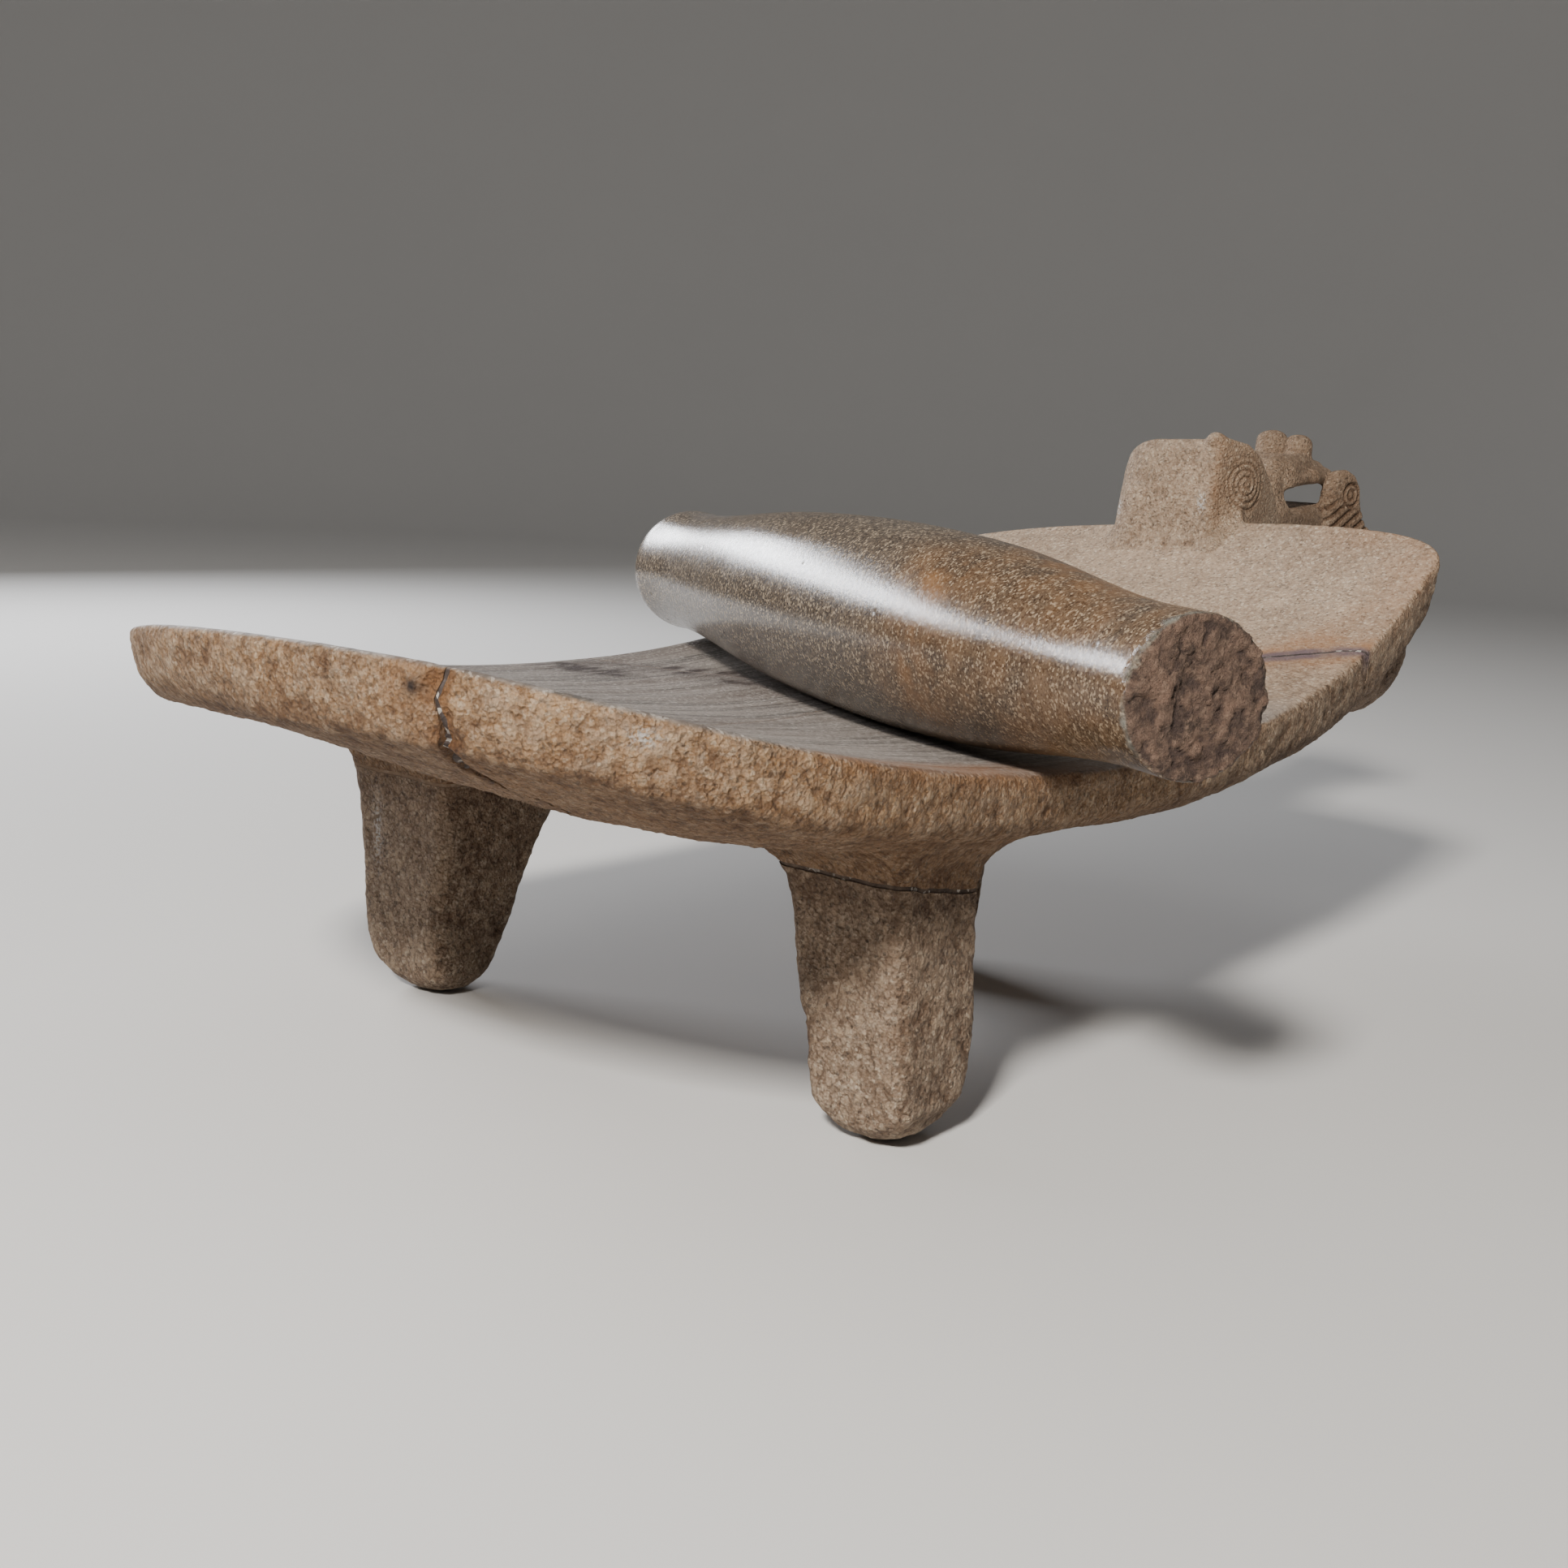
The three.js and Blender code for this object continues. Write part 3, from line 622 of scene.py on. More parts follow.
h = h - 2.1 * chips * (0.7 + 0.6 * noise(x, y, z, 3.4, 62)) - 1.8 * gouge
side_crack = (y < -140) * np.exp(-((x - 14.5 + 0.95 * (z - 115.4)) / 1.5) ** 2) * step(104, 110, z) * (1 - step(121, 125, z))
h = h - 0.9 * side_crack
nick = np.exp(-((x + 149) ** 2 + (y + 97) ** 2 + (z - 39) ** 2) / 20.0) + 0.8 * np.exp(-((x + 149) ** 2 + (y + 98) ** 2 + (z - 30) ** 2) / 12.0)
h = h - 2.2 * nick
P = P + N * h[:, None]
P[:, 2] = np.maximum(P[:, 2], 0.0)
whole = make_mesh("whole", P, Q)
flip_out(whole)

head_wall = curtain(DIAG, 0.84, 0.5, ZS, lean_diag, (440.0, None))
near_wall = curtain(DIAG, -0.84, 0.5, ZS, lean_diag, (-440.0, None))
left_wall = curtain(NEARB, 0.84, 0.8, ZS, lean_near, (None, 240.0))
right_wall = curtain(NEARB, -0.84, 0.8, ZS, lean_near, (None, -240.0))


def right_low(X, Y):
    return 95.4 - 7.5 * np.clip((X + 149) / 50.0, 0, 1)


def left_low(X, Y):
    return 94.2 + 0.0 * X


RB = (-175, -70, -160, -55)
LB = (-178, -44, 70, 168)
lower_r = wavy_slab(*RB, lambda X, Y: 0 * X - 20, lambda X, Y: right_low(X, Y), 0.6)
lower_l = wavy_slab(*LB, lambda X, Y: 0 * X - 20, left_low, 0.5)
mid_r = wavy_slab(*RB, lambda X, Y: right_low(X, Y) + 0.05, lambda X, Y: right_low(X, Y) + 1.65, 0.6)
mid_l = wavy_slab(*LB, lambda X, Y: left_low(X, Y) + 0.05, lambda X, Y: left_low(X, Y) + 1.65, 0.5)
cut_r = wavy_slab(*RB, lambda X, Y: 0 * X - 20, lambda X, Y: right_low(X, Y) + 1.7, 0.6)
cut_l = wavy_slab(*LB, lambda X, Y: 0 * X - 20, lambda X, Y: left_low(X, Y) + 1.7, 0.5)

bodyless = cut(whole.copy(), "DIFFERENCE", cut_r.copy(), cut_l.copy())
pieces = {}
pieces["plate_head_end"] = cut(bodyless.copy(), "INTERSECT", head_wall.copy())
nearpart = cut(bodyless.copy(), "INTERSECT", near_wall.copy())
pieces["plate_near_left"] = cut(nearpart.copy(), "INTERSECT", left_wall.copy())
pieces["plate_near_right"] = cut(nearpart.copy(), "INTERSECT", right_wall.copy())
pieces["leg_near_right"] = cut(whole.copy(), "INTERSECT", lower_r.copy())
pieces["leg_near_left"] = cut(whole.copy(), "INTERSECT", lower_l.copy())

# the fill stands a little below the stones' faces
inner = whole.copy()
C = coords(inner); Nn = normals(inner)
sunk = 0.03 + (0.35 + 0.5 * np.abs(noise(*C.T, 3.0, 31))) * (1 - step(0.6, 0.9, Nn[:, 2])) * (1 - 0.7 * (C[:, 1] > 60) * (C[:, 2] < 104))
C2 = C - Nn * sunk[:, None]
inner.vertices.foreach_set("co", (np.stack([C2[:, 0] - OX, C2[:, 1] - OY, C2[:, 2]], 1) / 1000).astype(np.float32).ravel())
inner.update()
fill_d = sheet_between(DIAG, 0.8, 0.5, ZS, lean_diag)
fill_n = sheet_between(NEARB, 0.8, 0.8, ZS, lean_near)
pieces["seam_fill_diagonal"] = cut(inner.copy(), "INTERSECT", fill_d)
pieces["seam_fill_near"] = cut(inner.copy(), "INTERSECT", fill_n, near_wall.copy())
pieces["seam_leg_near_right"] = cut(inner.copy(), "INTERSECT", mid_r)
pieces["seam_leg_near_left"] = cut(inner.copy(), "INTERSECT", mid_l)

# ------------------------------------------------------------------ third leg, one stone with the plate
foot_box = wavy_slab(8, 128, -62, 66, lambda X, Y: 0 * X - 20, lambda X, Y: 0 * X + 94.5, 0.0, 6.0)
pieces["leg_head_end"] = cut(whole.copy(), "INTERSECT", foot_box.copy())
pieces["plate_head_end"] = cut(pieces["plate_head_end"], "DIFFERENCE", foot_box.copy())

# ------------------------------------------------------------------ head mesh


def head_on_plate(x, y, z):
    t = table(x, y, z) + 0.6
    # a wider ramp on the -Y side of the block
    ramp = 9.0 + 5.0 * step(-20, -34, y) * (1 - step(335, 365, x))
    return np.maximum(smin(head(x, y, z), t, ramp), -t)


HP, HQ = mesh_field(head_on_plate, (281, -57, 168), (516, 57, 274), HVOX)
HG = unit(grad(head_on_plate, HP)[1])
hx, hy, hz = HP.T
tdist = table(hx, hy, hz)
carve = head_carving(hx, hy, hz, HG[:, 1])
c1, v1 = cells(hx, hy, hz, 2.5, 3)
back = step(0.5, 0.85, -HG[:, 0]) * (1 - step(312, 330, hx))
low = back * (1 - step(190, 214, hz))
flat_side = step(0.5, 0.85, np.abs(HG[:, 1])) * (hx < 345)
rel = (0.17 - 0.10 * flat_side + 0.15 * back + 0.42 * low) * (0.6 * (c1 - 0.55) + 0.8 * fbm(hx, hy, hz, 5.0, 3, 0.55, 14))
rel = rel + 0.35 * low * noise(hx, hy * 0.4, hz, 4.0, 15)
pin, pv = cells(hx, hy, hz, 5.2, 7)
holes = (pv > 0.72) * (1 - step(0.05, 0.13, pin)) * step(0.3, 0.6, back + 0.35)
keep = step(0.2, 1.2, tdist)
HP = HP + HG * ((rel - carve - 0.7 * holes) * keep)[:, None]
pieces["head_effigy"] = make_mesh("head_effigy", HP, HQ)
flip_out(pieces["head_effigy"])
head_shade = (carve, rel, holes)

# ------------------------------------------------------------------ the hand stone
M_LEN, M_C, M_TURN = 461.6, (-22.0, -24.84, 173.55), 0.5
M_R = [26.45, 28.25, 32.9, 37.55, 39.97, 41.15, 41.23, 40.39, 38.73, 35.7, 32.37, 30.57, 32.08]
_st = np.linspace(0, M_LEN, 13)
_fine = np.linspace(0, M_LEN, 400)


def _spline(xs, ys, at):
    n = len(xs); h = xs[1] - xs[0]
    A = np.zeros((n, n)); b = np.zeros(n)
    A[0, 0] = A[-1, -1] = 1
    for i in range(1, n - 1):
        A[i, i - 1:i + 2] = (1, 4, 1)
        b[i] = 6 * (ys[i - 1] - 2 * ys[i] + ys[i + 1]) / h ** 2
    m = np.linalg.solve(A, b)
    k = np.clip(((at - xs[0]) / h).astype(int), 0, n - 2)
    t = at - xs[k]; u = h - t
    return (m[k] * u ** 3 + m[k + 1] * t ** 3) / (6 * h) + (ys[k] / h - m[k] * h / 6) * u + (ys[k + 1] / h - m[k + 1] * h / 6) * t


_rad = _spline(_st, np.array(M_R), _fine) - 0.34


END = -5.0


def mano(u, v, w):
    """u along the stone from its broken end, v across, w up."""
    r = np.interp(u, _fine, _rad)
    r = r + 0.15 * noise(u, v, w, 60.0, 41) + 0.6 * step(30, -4, u)
    rho = np.sqrt(v * v + w * w)
    d = rho - r
    u0, cap = 441.0, 24.0
    p = np.maximum(u - u0, 0) / cap
    q = rho / (np.interp(np.minimum(u, u0), _fine, _rad) + 0.05 * np.clip(u - u0, 0, 20))
    f = (p ** 2.5 + q ** 2.5 + 1e-9) ** (1 / 2.5)
    g = np.sqrt((p ** 1.5 / cap) ** 2 + (q ** 1.5 / 31.5) ** 2 + 1e-12) / f ** 1.5
    d = np.where(u > u0, (f - 1) / g, d)
    lumps = 1.3 * noise(u * 0.3, v, w, 18.0, 42) + 0.8 * noise(u * 0.3, v, w, 7.0, 43)
    face = END - u + lumps
    d = smax(d, face, 2.2)
    # flakes struck off round the rim
    a = np.arctan2(w, v)
    bite = 1.7 * np.maximum(0, noise(a * 9.0, u * 0 + 3.3, u * 0, 1.0, 46)) + 1.1 * np.maximum(0, noise(a * 22.0, u * 0 + 1.3, u * 0, 1.0, 47))
    rim = (rho - r) * 0.72 + (END + 0.8 - u) * 0.69 - 0.6 + bite
    return smax(d, rim, 1.5)


MP, MQ = mesh_field(mano, (-11, -44, -44), (469, 44, 44), 1.0)
MG = unit(grad(mano, MP)[1])
mu, mv, mw = MP.T
end_face = step(0.45, 0.75, -MG[:, 0]) * (1 - step(END + 5, END + 8, mu))
rim_band = (1 - step(END + 0.3, END + 4.3, mu - 3.0 * np.maximum(0, noise(np.arctan2(mw, mv) * 12.0, mu * 0, mu * 0 + 2, 1.0, 46)))) * (1 - end_face)
cc, cv = cells(mu, mv, mw, 6.0, 5)
pits = (cv > 0.55) * (1 - step(0.05, 0.16, cc)) * (1 - end_face)
c3, c3v = cells(mu * 0.3, mv, mw, 3.7, 6)
frac = end_face * (0.8 * fbm(mu, mv, mw, 4.4, 3, 0.7, 48) + 1.0 * (0.5 - c3) + 0.60 * c3v)
chip = np.exp(-(((mu - 134.0) / 2.3) ** 2 + ((mv + 8.5) / 2.0) ** 2)) * (mw > 0)
MP = MP + MG * (frac - 0.35 * pits * (1 - end_face) - 0.9 * chip + rim_band * 0.35 * fbm(mu, mv, mw, 3.0, 3, 0.6, 49))[:, None]
_d = np.array([math.sin(M_TURN), math.cos(M_TURN), 0.0])
_s = np.array([-_d[1], _d[0], 0.0])
W = np.array(M_C) + (MP[:, :1] - M_LEN / 2) * _d + MP[:, 1:2] * _s + MP[:, 2:3] * np.array([0, 0, 1.0])
pieces["mano"] = make_mesh("mano", W, MQ)
flip_out(pieces["mano"])


# ------------------------------------------------------------------ painted masks, at the points of each mesh
def spot(x, y, cx, cy, rx, ry, turn=0.0):
    c, s = math.cos(turn), math.sin(turn)
    u, v = (x - cx) * c + (y - cy) * s, -(x - cx) * s + (y - cy) * c
    return np.exp(-((u / rx) ** 2 + (v / ry) ** 2))


def paint_table(me):
    C = coords(me); Nn = normals(me)
    x, y, z = C.T
    top, _x = top_of(x, y)
    f = table(x, y, z)
    ground = step(0.45, 0.9, Nn[:, 2]) * step(-5.0, -1.5, z - top)
    # past the rise the top is pecked, not ground
    worn = ground * (1 - 0.85 * step(120, 190, x + 10 * noise(x, y, z, 40, 51) - 0.45 * (y + 60)))
    attribute(me, "ground", worn)
    attribute(me, "upper", ground)
    # the stone material paints shade in the hollows and highlights on the raised points from this
    attribute(me, "hollow", np.clip(-f * 0.8, -1, 1))
    dd = distance_to(DIAG, x, y, 60.0)
    dn = distance_to(NEARB, x, y, 40.0)
    dn = np.where((x < 24) & (x > -330), dn, 40.0)
    wob = 3.0 * noise(x, y, z, 9.0, 52)
    seam = (1 - step(2.6, 8.0, dd + wob)) * step(-15, -4, z - top)  * step(95, 125, x) + 0.5 * (1 - step(0.5, 2.5, dd)) * ground * (x < 95) * (x < 60)
    attribute(me, "seam", seam)
    rimside = step(-9, -1, z - top) * step(128, 150, -y) * step(-245, -200, x) * (1 - step(-90, -20, x))
    orange = 0.85 * rimside + 1.1 * spot(x, y, 190, -134, 24, 20) * step(138, 150, z)
    orange = orange + 0.5 * spot(x, y, 296, -118, 16, 30) * ground + 0.80 * (1 - step(5, 18, dd + wob)) * step(110, 150, x) * ground
    orange = orange + 0.45 * step(124, 146, -y) * step(185, 235, x) * step(-16, -4, z - top)
    edge_l = np.exp(-((dn - 1) / 9.0) ** 2) * step(-80, -72, y) * step(0.4, 0.8, -Nn[:, 0]) * (x < -250)
    orange = orange + 0.7 * spot(z, y, 167, -62, 9, 7) * (x < -280) + 0.8 * edge_l
    attribute(me, "rust", np.clip(orange, 0, 1))
    dark = (1.5 * spot(x, y, -31, 128, 15, 24) + 1.4 * spot(x, y, 8, 98, 11, 32, 0.35) + 0.7 * spot(x, y, 0, 60, 8, 26, 0.3)) * ground
    dark = dark + 0.75 * spot(y, z, -64.6, 167, 3.2, 3.2) * (x < -280)
    pale = 0.9 * spot(y, z, -126.7, 157.9, 3.4, 2.6) * (x < -255) + 0.8 * spot(y, z, 134.6, 67, 3.0, 14) * (x < -140) * (z < 95)
    attribute(me, "pale", np.clip(pale, 0, 1))
    attribute(me, "far", step(-30, 175, x + 22 * noise(x, y, z, 45, 54)))
    side = step(0.75, 0.3, Nn[:, 2])
    # painted shade: the lower part of the plate's side faces and the legs' tops under the plate are darkened
    attribute(me, "painted_shade", np.clip(side * step(-13, -27, z - top) * step(80, 92, z) + 0.45 * (z < 92) * step(30, 92, z), 0, 1))
    attribute(me, "dark", np.clip(dark * (1 + 0.6 * noise(x, y, z, 8, 53)), 0, 1))


for n_ in ("plate_head_end", "plate_near_left", "plate_near_right", "leg_near_left", "leg_near_right", "leg_head_end"):
    paint_table(pieces[n_])
for n_ in ("seam_fill_diagonal", "seam_fill_near", "seam_leg_near_left", "seam_leg_near_right"):
    Cn, Nf = coords(pieces[n_]), normals(pieces[n_])
    worn = step(0.45, 0.8, Nf[:, 2]) * (1 - step(95, 125, Cn[:, 0]))
    attribute(pieces[n_], "ground", np.full(len(Cn), 1.0) if n_ == "seam_leg_near_left" else 0 * worn if n_ == "seam_leg_near_right" else worn)
me = pieces["head_effigy"]
# the stone material paints shade in the carved lines, pin holes and hollows, and highlights on the raised points, from
# this
attribute(me, "hollow", np.clip((-head_shade[1] * 1.1 + head_shade[0] * 0.5 + head_shade[2] * 0.8) * keep, -1, 1.3))
C = coords(me); Nn = normals(me)
attribute(me, "rust", np.clip(0.42 * np.exp(-((C[:, 1] + 25.5) / 2.4) ** 2) * (C[:, 0] < 304) * step(206, 226, C[:, 2]) + 0.25 * step(0.5, 0.9, -Nn[:, 1]) * (C[:, 0] < 345), 0, 1))
for k in ("ground", "upper", "seam"):
    attribute(me, k, np.zeros(len(me.vertices)))
# painted shadow of the block over the snout, and painted shade under the muzzle
attribute(me, "painted_shade", np.clip(0.8 * step(345, 385, C[:, 0]) + 0.3 * step(400, 430, C[:, 0]) * step(252, 240, C[:, 2]), 0, 1))
attribute(me, "pale", np.clip(spot(C[:, 1], C[:, 2], -19.8, 223.7, 2.6, 4.5) * (C[:, 0] < 300) + spot(C[:, 1], C[:, 2], 33.5, 217, 2.5, 4.5) * (C[:, 0] < 306), 0, 1))
# painted shade in the crease where the head meets the plate
attribute(me, "dark", np.clip(0.7 * (1 - step(0, 9, table(*C.T))) * step(330, 350, C[:, 0]), 0, 1))
me = pieces["mano"]
attribute(me, "broken", end_face)
attribute(me, "rim", rim_band * step(-0.1, 0.5, noise(mu, mv, mw, 5.0, 63) + 0.25))
attribute(me, "chip", np.clip(chip * 1.6, 0, 1))
attribute(me, "pit", pits)
# the hand stone material paints shade in the hollows of the broken face from this
attribute(me, "hollow", np.clip(-frac * 0.8, -1, 1))
attribute(me, "rust", np.clip(0.9 * spot(mu, mv, 70, -14, 48, 20) + 0.7 * spot(mu, mv, 120, 30, 20, 12) + 0.35 * (1 - step(40, 200, mu)), 0, 1) * (1 - end_face))
# bluish grey patches; the larger one near the unbroken end paints the bluish sheen of the highlight there
attribute(me, "blue", np.clip(0.9 * spot(mu, mv, 150, -8, 9, 5) + 0.8 * spot(mu, mv, 405, -5, 40, 16), 0, 1))


# ------------------------------------------------------------------ materials
class Graph:
    def __init__(self, name):
        self.mat = bpy.data.materials.new(name)
        self.mat.use_nodes = True
        self.t = self.mat.node_tree
        self.t.nodes.clear()
        self.out = self.t.nodes.new("ShaderNodeOutputMaterial")
        self.bsdf = self.t.nodes.new("ShaderNodeBsdfPrincipled")
        self.t.links.new(self.bsdf.outputs[0], self.out.inputs[0])
        self.co = self.t.nodes.new("ShaderNodeTexCoord").outputs["Object"]

    def put(self, socket, v):
        if isinstance(v, bpy.types.NodeSocket):
            self.t.links.new(v, socket)
        else:
            if isinstance(v, (tuple, list)) and len(v) == 3 and socket.type == "RGBA":
                v = (*v, 1.0)
            socket.default_value = v

    def stretch(self, s, turn=(0, 0, 0)):
        n = self.t.nodes.new("ShaderNodeMapping")
        self.put(n.inputs["Vector"], self.co)
        n.inputs["Scale"].default_value = s
        n.inputs["Rotation"].default_value = turn
        return n.outputs[0]

    def noise(self, scale, detail=4.0, rough=0.55, co=None, dist=0.0):
        n = self.t.nodes.new("ShaderNodeTexNoise")
        self.put(n.inputs["Vector"], co or self.co)
        n.inputs["Scale"].default_value = scale
        n.inputs["Detail"].default_value = detail
        n.inputs["Roughness"].default_value = rough
        n.inputs["Distortion"].default_value = dist
        return n.outputs["Fac"]

    def cell(self, scale, what="Color", co=None, feature="F1", random=1.0):
        n = self.t.nodes.new("ShaderNodeTexVoronoi")
        n.feature = feature
        self.put(n.inputs["Vector"], co or self.co)
        n.inputs["Scale"].default_value = scale
        n.inputs["Randomness"].default_value = random
        return n.outputs[what]

    def attr(self, name):
        n = self.t.nodes.new("ShaderNodeAttribute")
        n.attribute_name = name
        return n.outputs["Fac"]

    def math(self, op, a, b=None, c=None, clamp=False):
        n = self.t.nodes.new("ShaderNodeMath")
        n.operation = op
        n.use_clamp = clamp
        self.put(n.inputs[0], a)
        if b is not None: self.put(n.inputs[1], b)
        if c is not None: self.put(n.inputs[2], c)
        return n.outputs[0]

    def range(self, v, a, b, lo=0.0, hi=1.0):
        n = self.t.nodes.new("ShaderNodeMapRange")
        self.put(n.inputs[0], v)
        n.inputs[1].default_value, n.inputs[2].default_value = a, b
        n.inputs[3].default_value, n.inputs[4].default_value = lo, hi
        return n.outputs[0]

    def mix(self, f, a, b, mode="MIX"):
        n = self.t.nodes.new("ShaderNodeMix")
        n.data_type = "RGBA"; n.blend_type = mode
        self.put(n.inputs[0], f)
        self.put(n.inputs[6], a); self.put(n.inputs[7], b)
        return n.outputs[2]

    def channel(self, c, k):
        n = self.t.nodes.new("ShaderNodeSeparateColor")
        self.put(n.inputs[0], c)
        return n.outputs[k]

    def bump(self, h, strength, distance, under=None):
        n = self.t.nodes.new("ShaderNodeBump")
        n.inputs["Strength"].default_value = strength
        n.inputs["Distance"].default_value = distance
        self.put(n.inputs["Height"], h)
        if under is not None: self.put(n.inputs["Normal"], under)
        return n.outputs[0]

    def finish(self, color, rough, normal, specular=0.35):
        self.put(self.bsdf.inputs["Base Color"], color)
        self.put(self.bsdf.inputs["Roughness"], rough)
        self.put(self.bsdf.inputs["Normal"], normal)
        self.bsdf.inputs["Specular IOR Level"].default_value = specular
        return self.mat


def stone(name, light, mid, dark, ground_tone, other=None, rust=(0.235, 0.098, 0.030), grain=1.0, peck=0.0026, peck_shading=1.0):
    g = Graph(name)
    big = g.noise(9.0, 5.0, 0.6)
    med = g.noise(55.0, 6.0, 0.62)
    fine = g.noise(420.0, 5.0, 0.7)
    if other:
        far = g.attr("far")
        light, mid, dark = [g.mix(far, a, other[k]) for a, k in ((light, "light"), (mid, "mid"), (dark, "dark"))]
    col = g.mix(g.range(med, 0.36, 0.66), mid, light)
    col = g.mix(g.math("MULTIPLY", g.range(big, 0.45, 0.7), 0.6), col, dark)
    col = g.mix(g.range(fine, 0.42, 0.74, 0.0, 0.55), col, g.mix(0.5, col, (0.60, 0.49, 0.36)))
    col = g.mix(g.range(fine, 0.48, 0.28, 0.0, 0.55), col, g.mix(1.0, col, (0.42, 0.34, 0.28), "MULTIPLY"))
    # mineral grains
    cell = g.cell(820.0)
    r = g.channel(cell, 0)
    bright = g.range(r, 0.80, 0.93)
    col = g.mix(g.math("MULTIPLY", bright, 0.30 * grain), col, (0.72, 0.62, 0.48))
    black = g.range(g.channel(cell, 1), 0.82, 0.95)
    col = g.mix(g.math("MULTIPLY", black, 0.50 * grain), col, (0.050, 0.030, 0.018))
    tiny = g.channel(g.cell(1700.0), 0)
    col = g.mix(g.range(tiny, 0.0, 1.0, 0.0, 0.22 * grain), col, (0.62, 0.52, 0.42))
    warp = g.stretch((1.0, 1.0, 0.8), (0.5, 0.6, 0.3))
    crease = g.range(g.cell(320.0, "Distance", warp, "DISTANCE_TO_EDGE"), 0.0, 0.25)
    pecks = g.math("ADD", g.math("MULTIPLY", crease, 0.30), g.math("MULTIPLY", g.channel(g.cell(320.0, "Color", warp), 2), 0.34))
    pecks = g.math("ADD", pecks, g.math("MULTIPLY", g.noise(250.0, 6.0, 0.78), 1.25))
    # painted shade in the peck marks and painted highlights on their raised parts, kept off the ground face
    gr = g.attr("ground")
    rest = g.math("SUBTRACT", 1.0, gr)
    col = g.mix(g.math("MULTIPLY", g.range(pecks, 1.00, 0.76, 0.0, 0.62 * peck_shading), rest), col, g.mix(1.0, col, (0.40, 0.32, 0.26), "MULTIPLY"))
    col = g.mix(g.math("MULTIPLY", g.range(pecks, 1.08, 1.32, 0.0, 0.34 * peck_shading), rest), col, (0.62, 0.47, 0.31))
    # painted shade in the relief's hollows and painted highlights on its raised points
    hol = g.attr("hollow")
    col = g.mix(g.range(hol, 0.02, 0.50, 0.0, 0.75), col, g.mix(1.0, col, (0.46, 0.36, 0.29), "MULTIPLY"))
    col = g.mix(g.range(hol, -0.02, -0.5, 0.0, 0.30), col, (0.56, 0.44, 0.32))
    # the ground face
    streak = g.noise(1.0, 6.0, 0.62, g.stretch((9.0, 240.0, 60.0)))
    streak2 = g.noise(1.0, 4.0, 0.6, g.stretch((3.0, 42.0, 12.0)))
    gcol = g.mix(g.range(fine, 0.3, 0.75, 0.0, 0.6), ground_tone, tuple(min(1.0, c * 1.45) for c in ground_tone))
    gcol = g.mix(g.range(streak, 0.47, 0.64, 0.0, 0.85), gcol, tuple(c * 0.28 for c in ground_tone))
    gcol = g.mix(g.range(streak2, 0.50, 0.64, 0.0, 0.7), gcol, (0.085, 0.060, 0.045))
    gcol = g.mix(g.math("MULTIPLY", bright, 0.35), gcol, (0.55, 0.51, 0.46))
    gcol = g.mix(g.math("MULTIPLY", black, 0.40), gcol, (0.08, 0.06, 0.05))
    col = g.mix(gr, col, gcol)
    # stains and marks, and painted shade: on the lower plate edges and leg tops under the plate, on the snout, and
    # where the head meets the plate
    rs = g.math("MULTIPLY", g.attr("rust"), g.range(med, 0.3, 0.62, 0.25, 1.0))
    col = g.mix(g.math("MULTIPLY", rs, 0.85), col, g.mix(0.25, rust, col))
    # dark stains on the plate; on the head this mask paints shade where it meets the plate
    dk = g.math("MULTIPLY", g.attr("dark"), g.range(g.noise(130.0, 4.0, 0.6, g.stretch((0.5, 1.4, 1.0))), 0.30, 0.54))
    col = g.mix(g.math("MULTIPLY", dk, 1.15, None, True), col, (0.034, 0.022, 0.018))
    sm = g.math("MULTIPLY", g.attr("seam"), g.range(med, 0.25, 0.55, 0.4, 1.0))
    col = g.mix(g.math("MULTIPLY", sm, 0.85), col, (0.098, 0.074, 0.090))
    # painted shade under the plate and on the snout, multiplied into the colour
    col = g.mix(g.math("MULTIPLY", g.attr("painted_shade"), g.range(med, 0.3, 0.6, 0.35, 0.85)), col, g.mix(1.0, col, (0.50, 0.43, 0.38), "MULTIPLY"))
    col = g.mix(g.math("MULTIPLY", g.attr("pale"), g.range(g.noise(600.0, 3.0, 0.6), 0.46, 0.58)), col, (0.62, 0.60, 0.57))
    rough = g.range(gr, 0.0, 1.0, 0.68, 0.58)
    rough = g.math("ADD", rough, g.range(fine, 0.3, 0.7, -0.06, 0.10))
    amp = g.range(g.attr("upper"), 0.0, 1.0, 1.0, 0.16)
    b0 = g.bump(g.math("MULTIPLY", g.math("SUBTRACT", pecks, 1.03), amp), 1.0, peck)
    b1 = g.bump(g.math("MULTIPLY", g.math("SUBTRACT", fine, 0.5), amp), 0.8, 0.0011, b0)
    b2 = g.bump(g.math("MULTIPLY", g.math("SUBTRACT", g.cell(760.0, "Distance"), 0.5), amp), 0.8, 0.0009, b1)
    return g.finish(col, rough, b2, 0.32)


def fill_stuff(name, base, pale, dark, worn=None):
    g = Graph(name)
    n1, n2 = g.noise(140.0, 5.0, 0.65), g.noise(700.0, 4.0, 0.6)
    col = g.mix(g.range(n1, 0.42, 0.70), base, pale)
    col = g.mix(g.range(n2, 0.5, 0.75, 0.0, 0.6), col, dark)
    col = g.mix(g.range(g.channel(g.cell(520.0), 0), 0.85, 0.95, 0.0, 0.5), col, (0.62, 0.58, 0.52))
    if worn:
        col = g.mix(g.math("MULTIPLY", g.attr("ground"), 0.85), col, g.mix(g.range(n2, 0.4, 0.7), worn, tuple(c * 1.25 for c in worn)))
    return g.finish(col, g.range(n1, 0.3, 0.7, 0.8, 0.95), g.bump(n1, 0.7, 0.0015, g.bump(n2, 0.7, 0.0008)), 0.25)


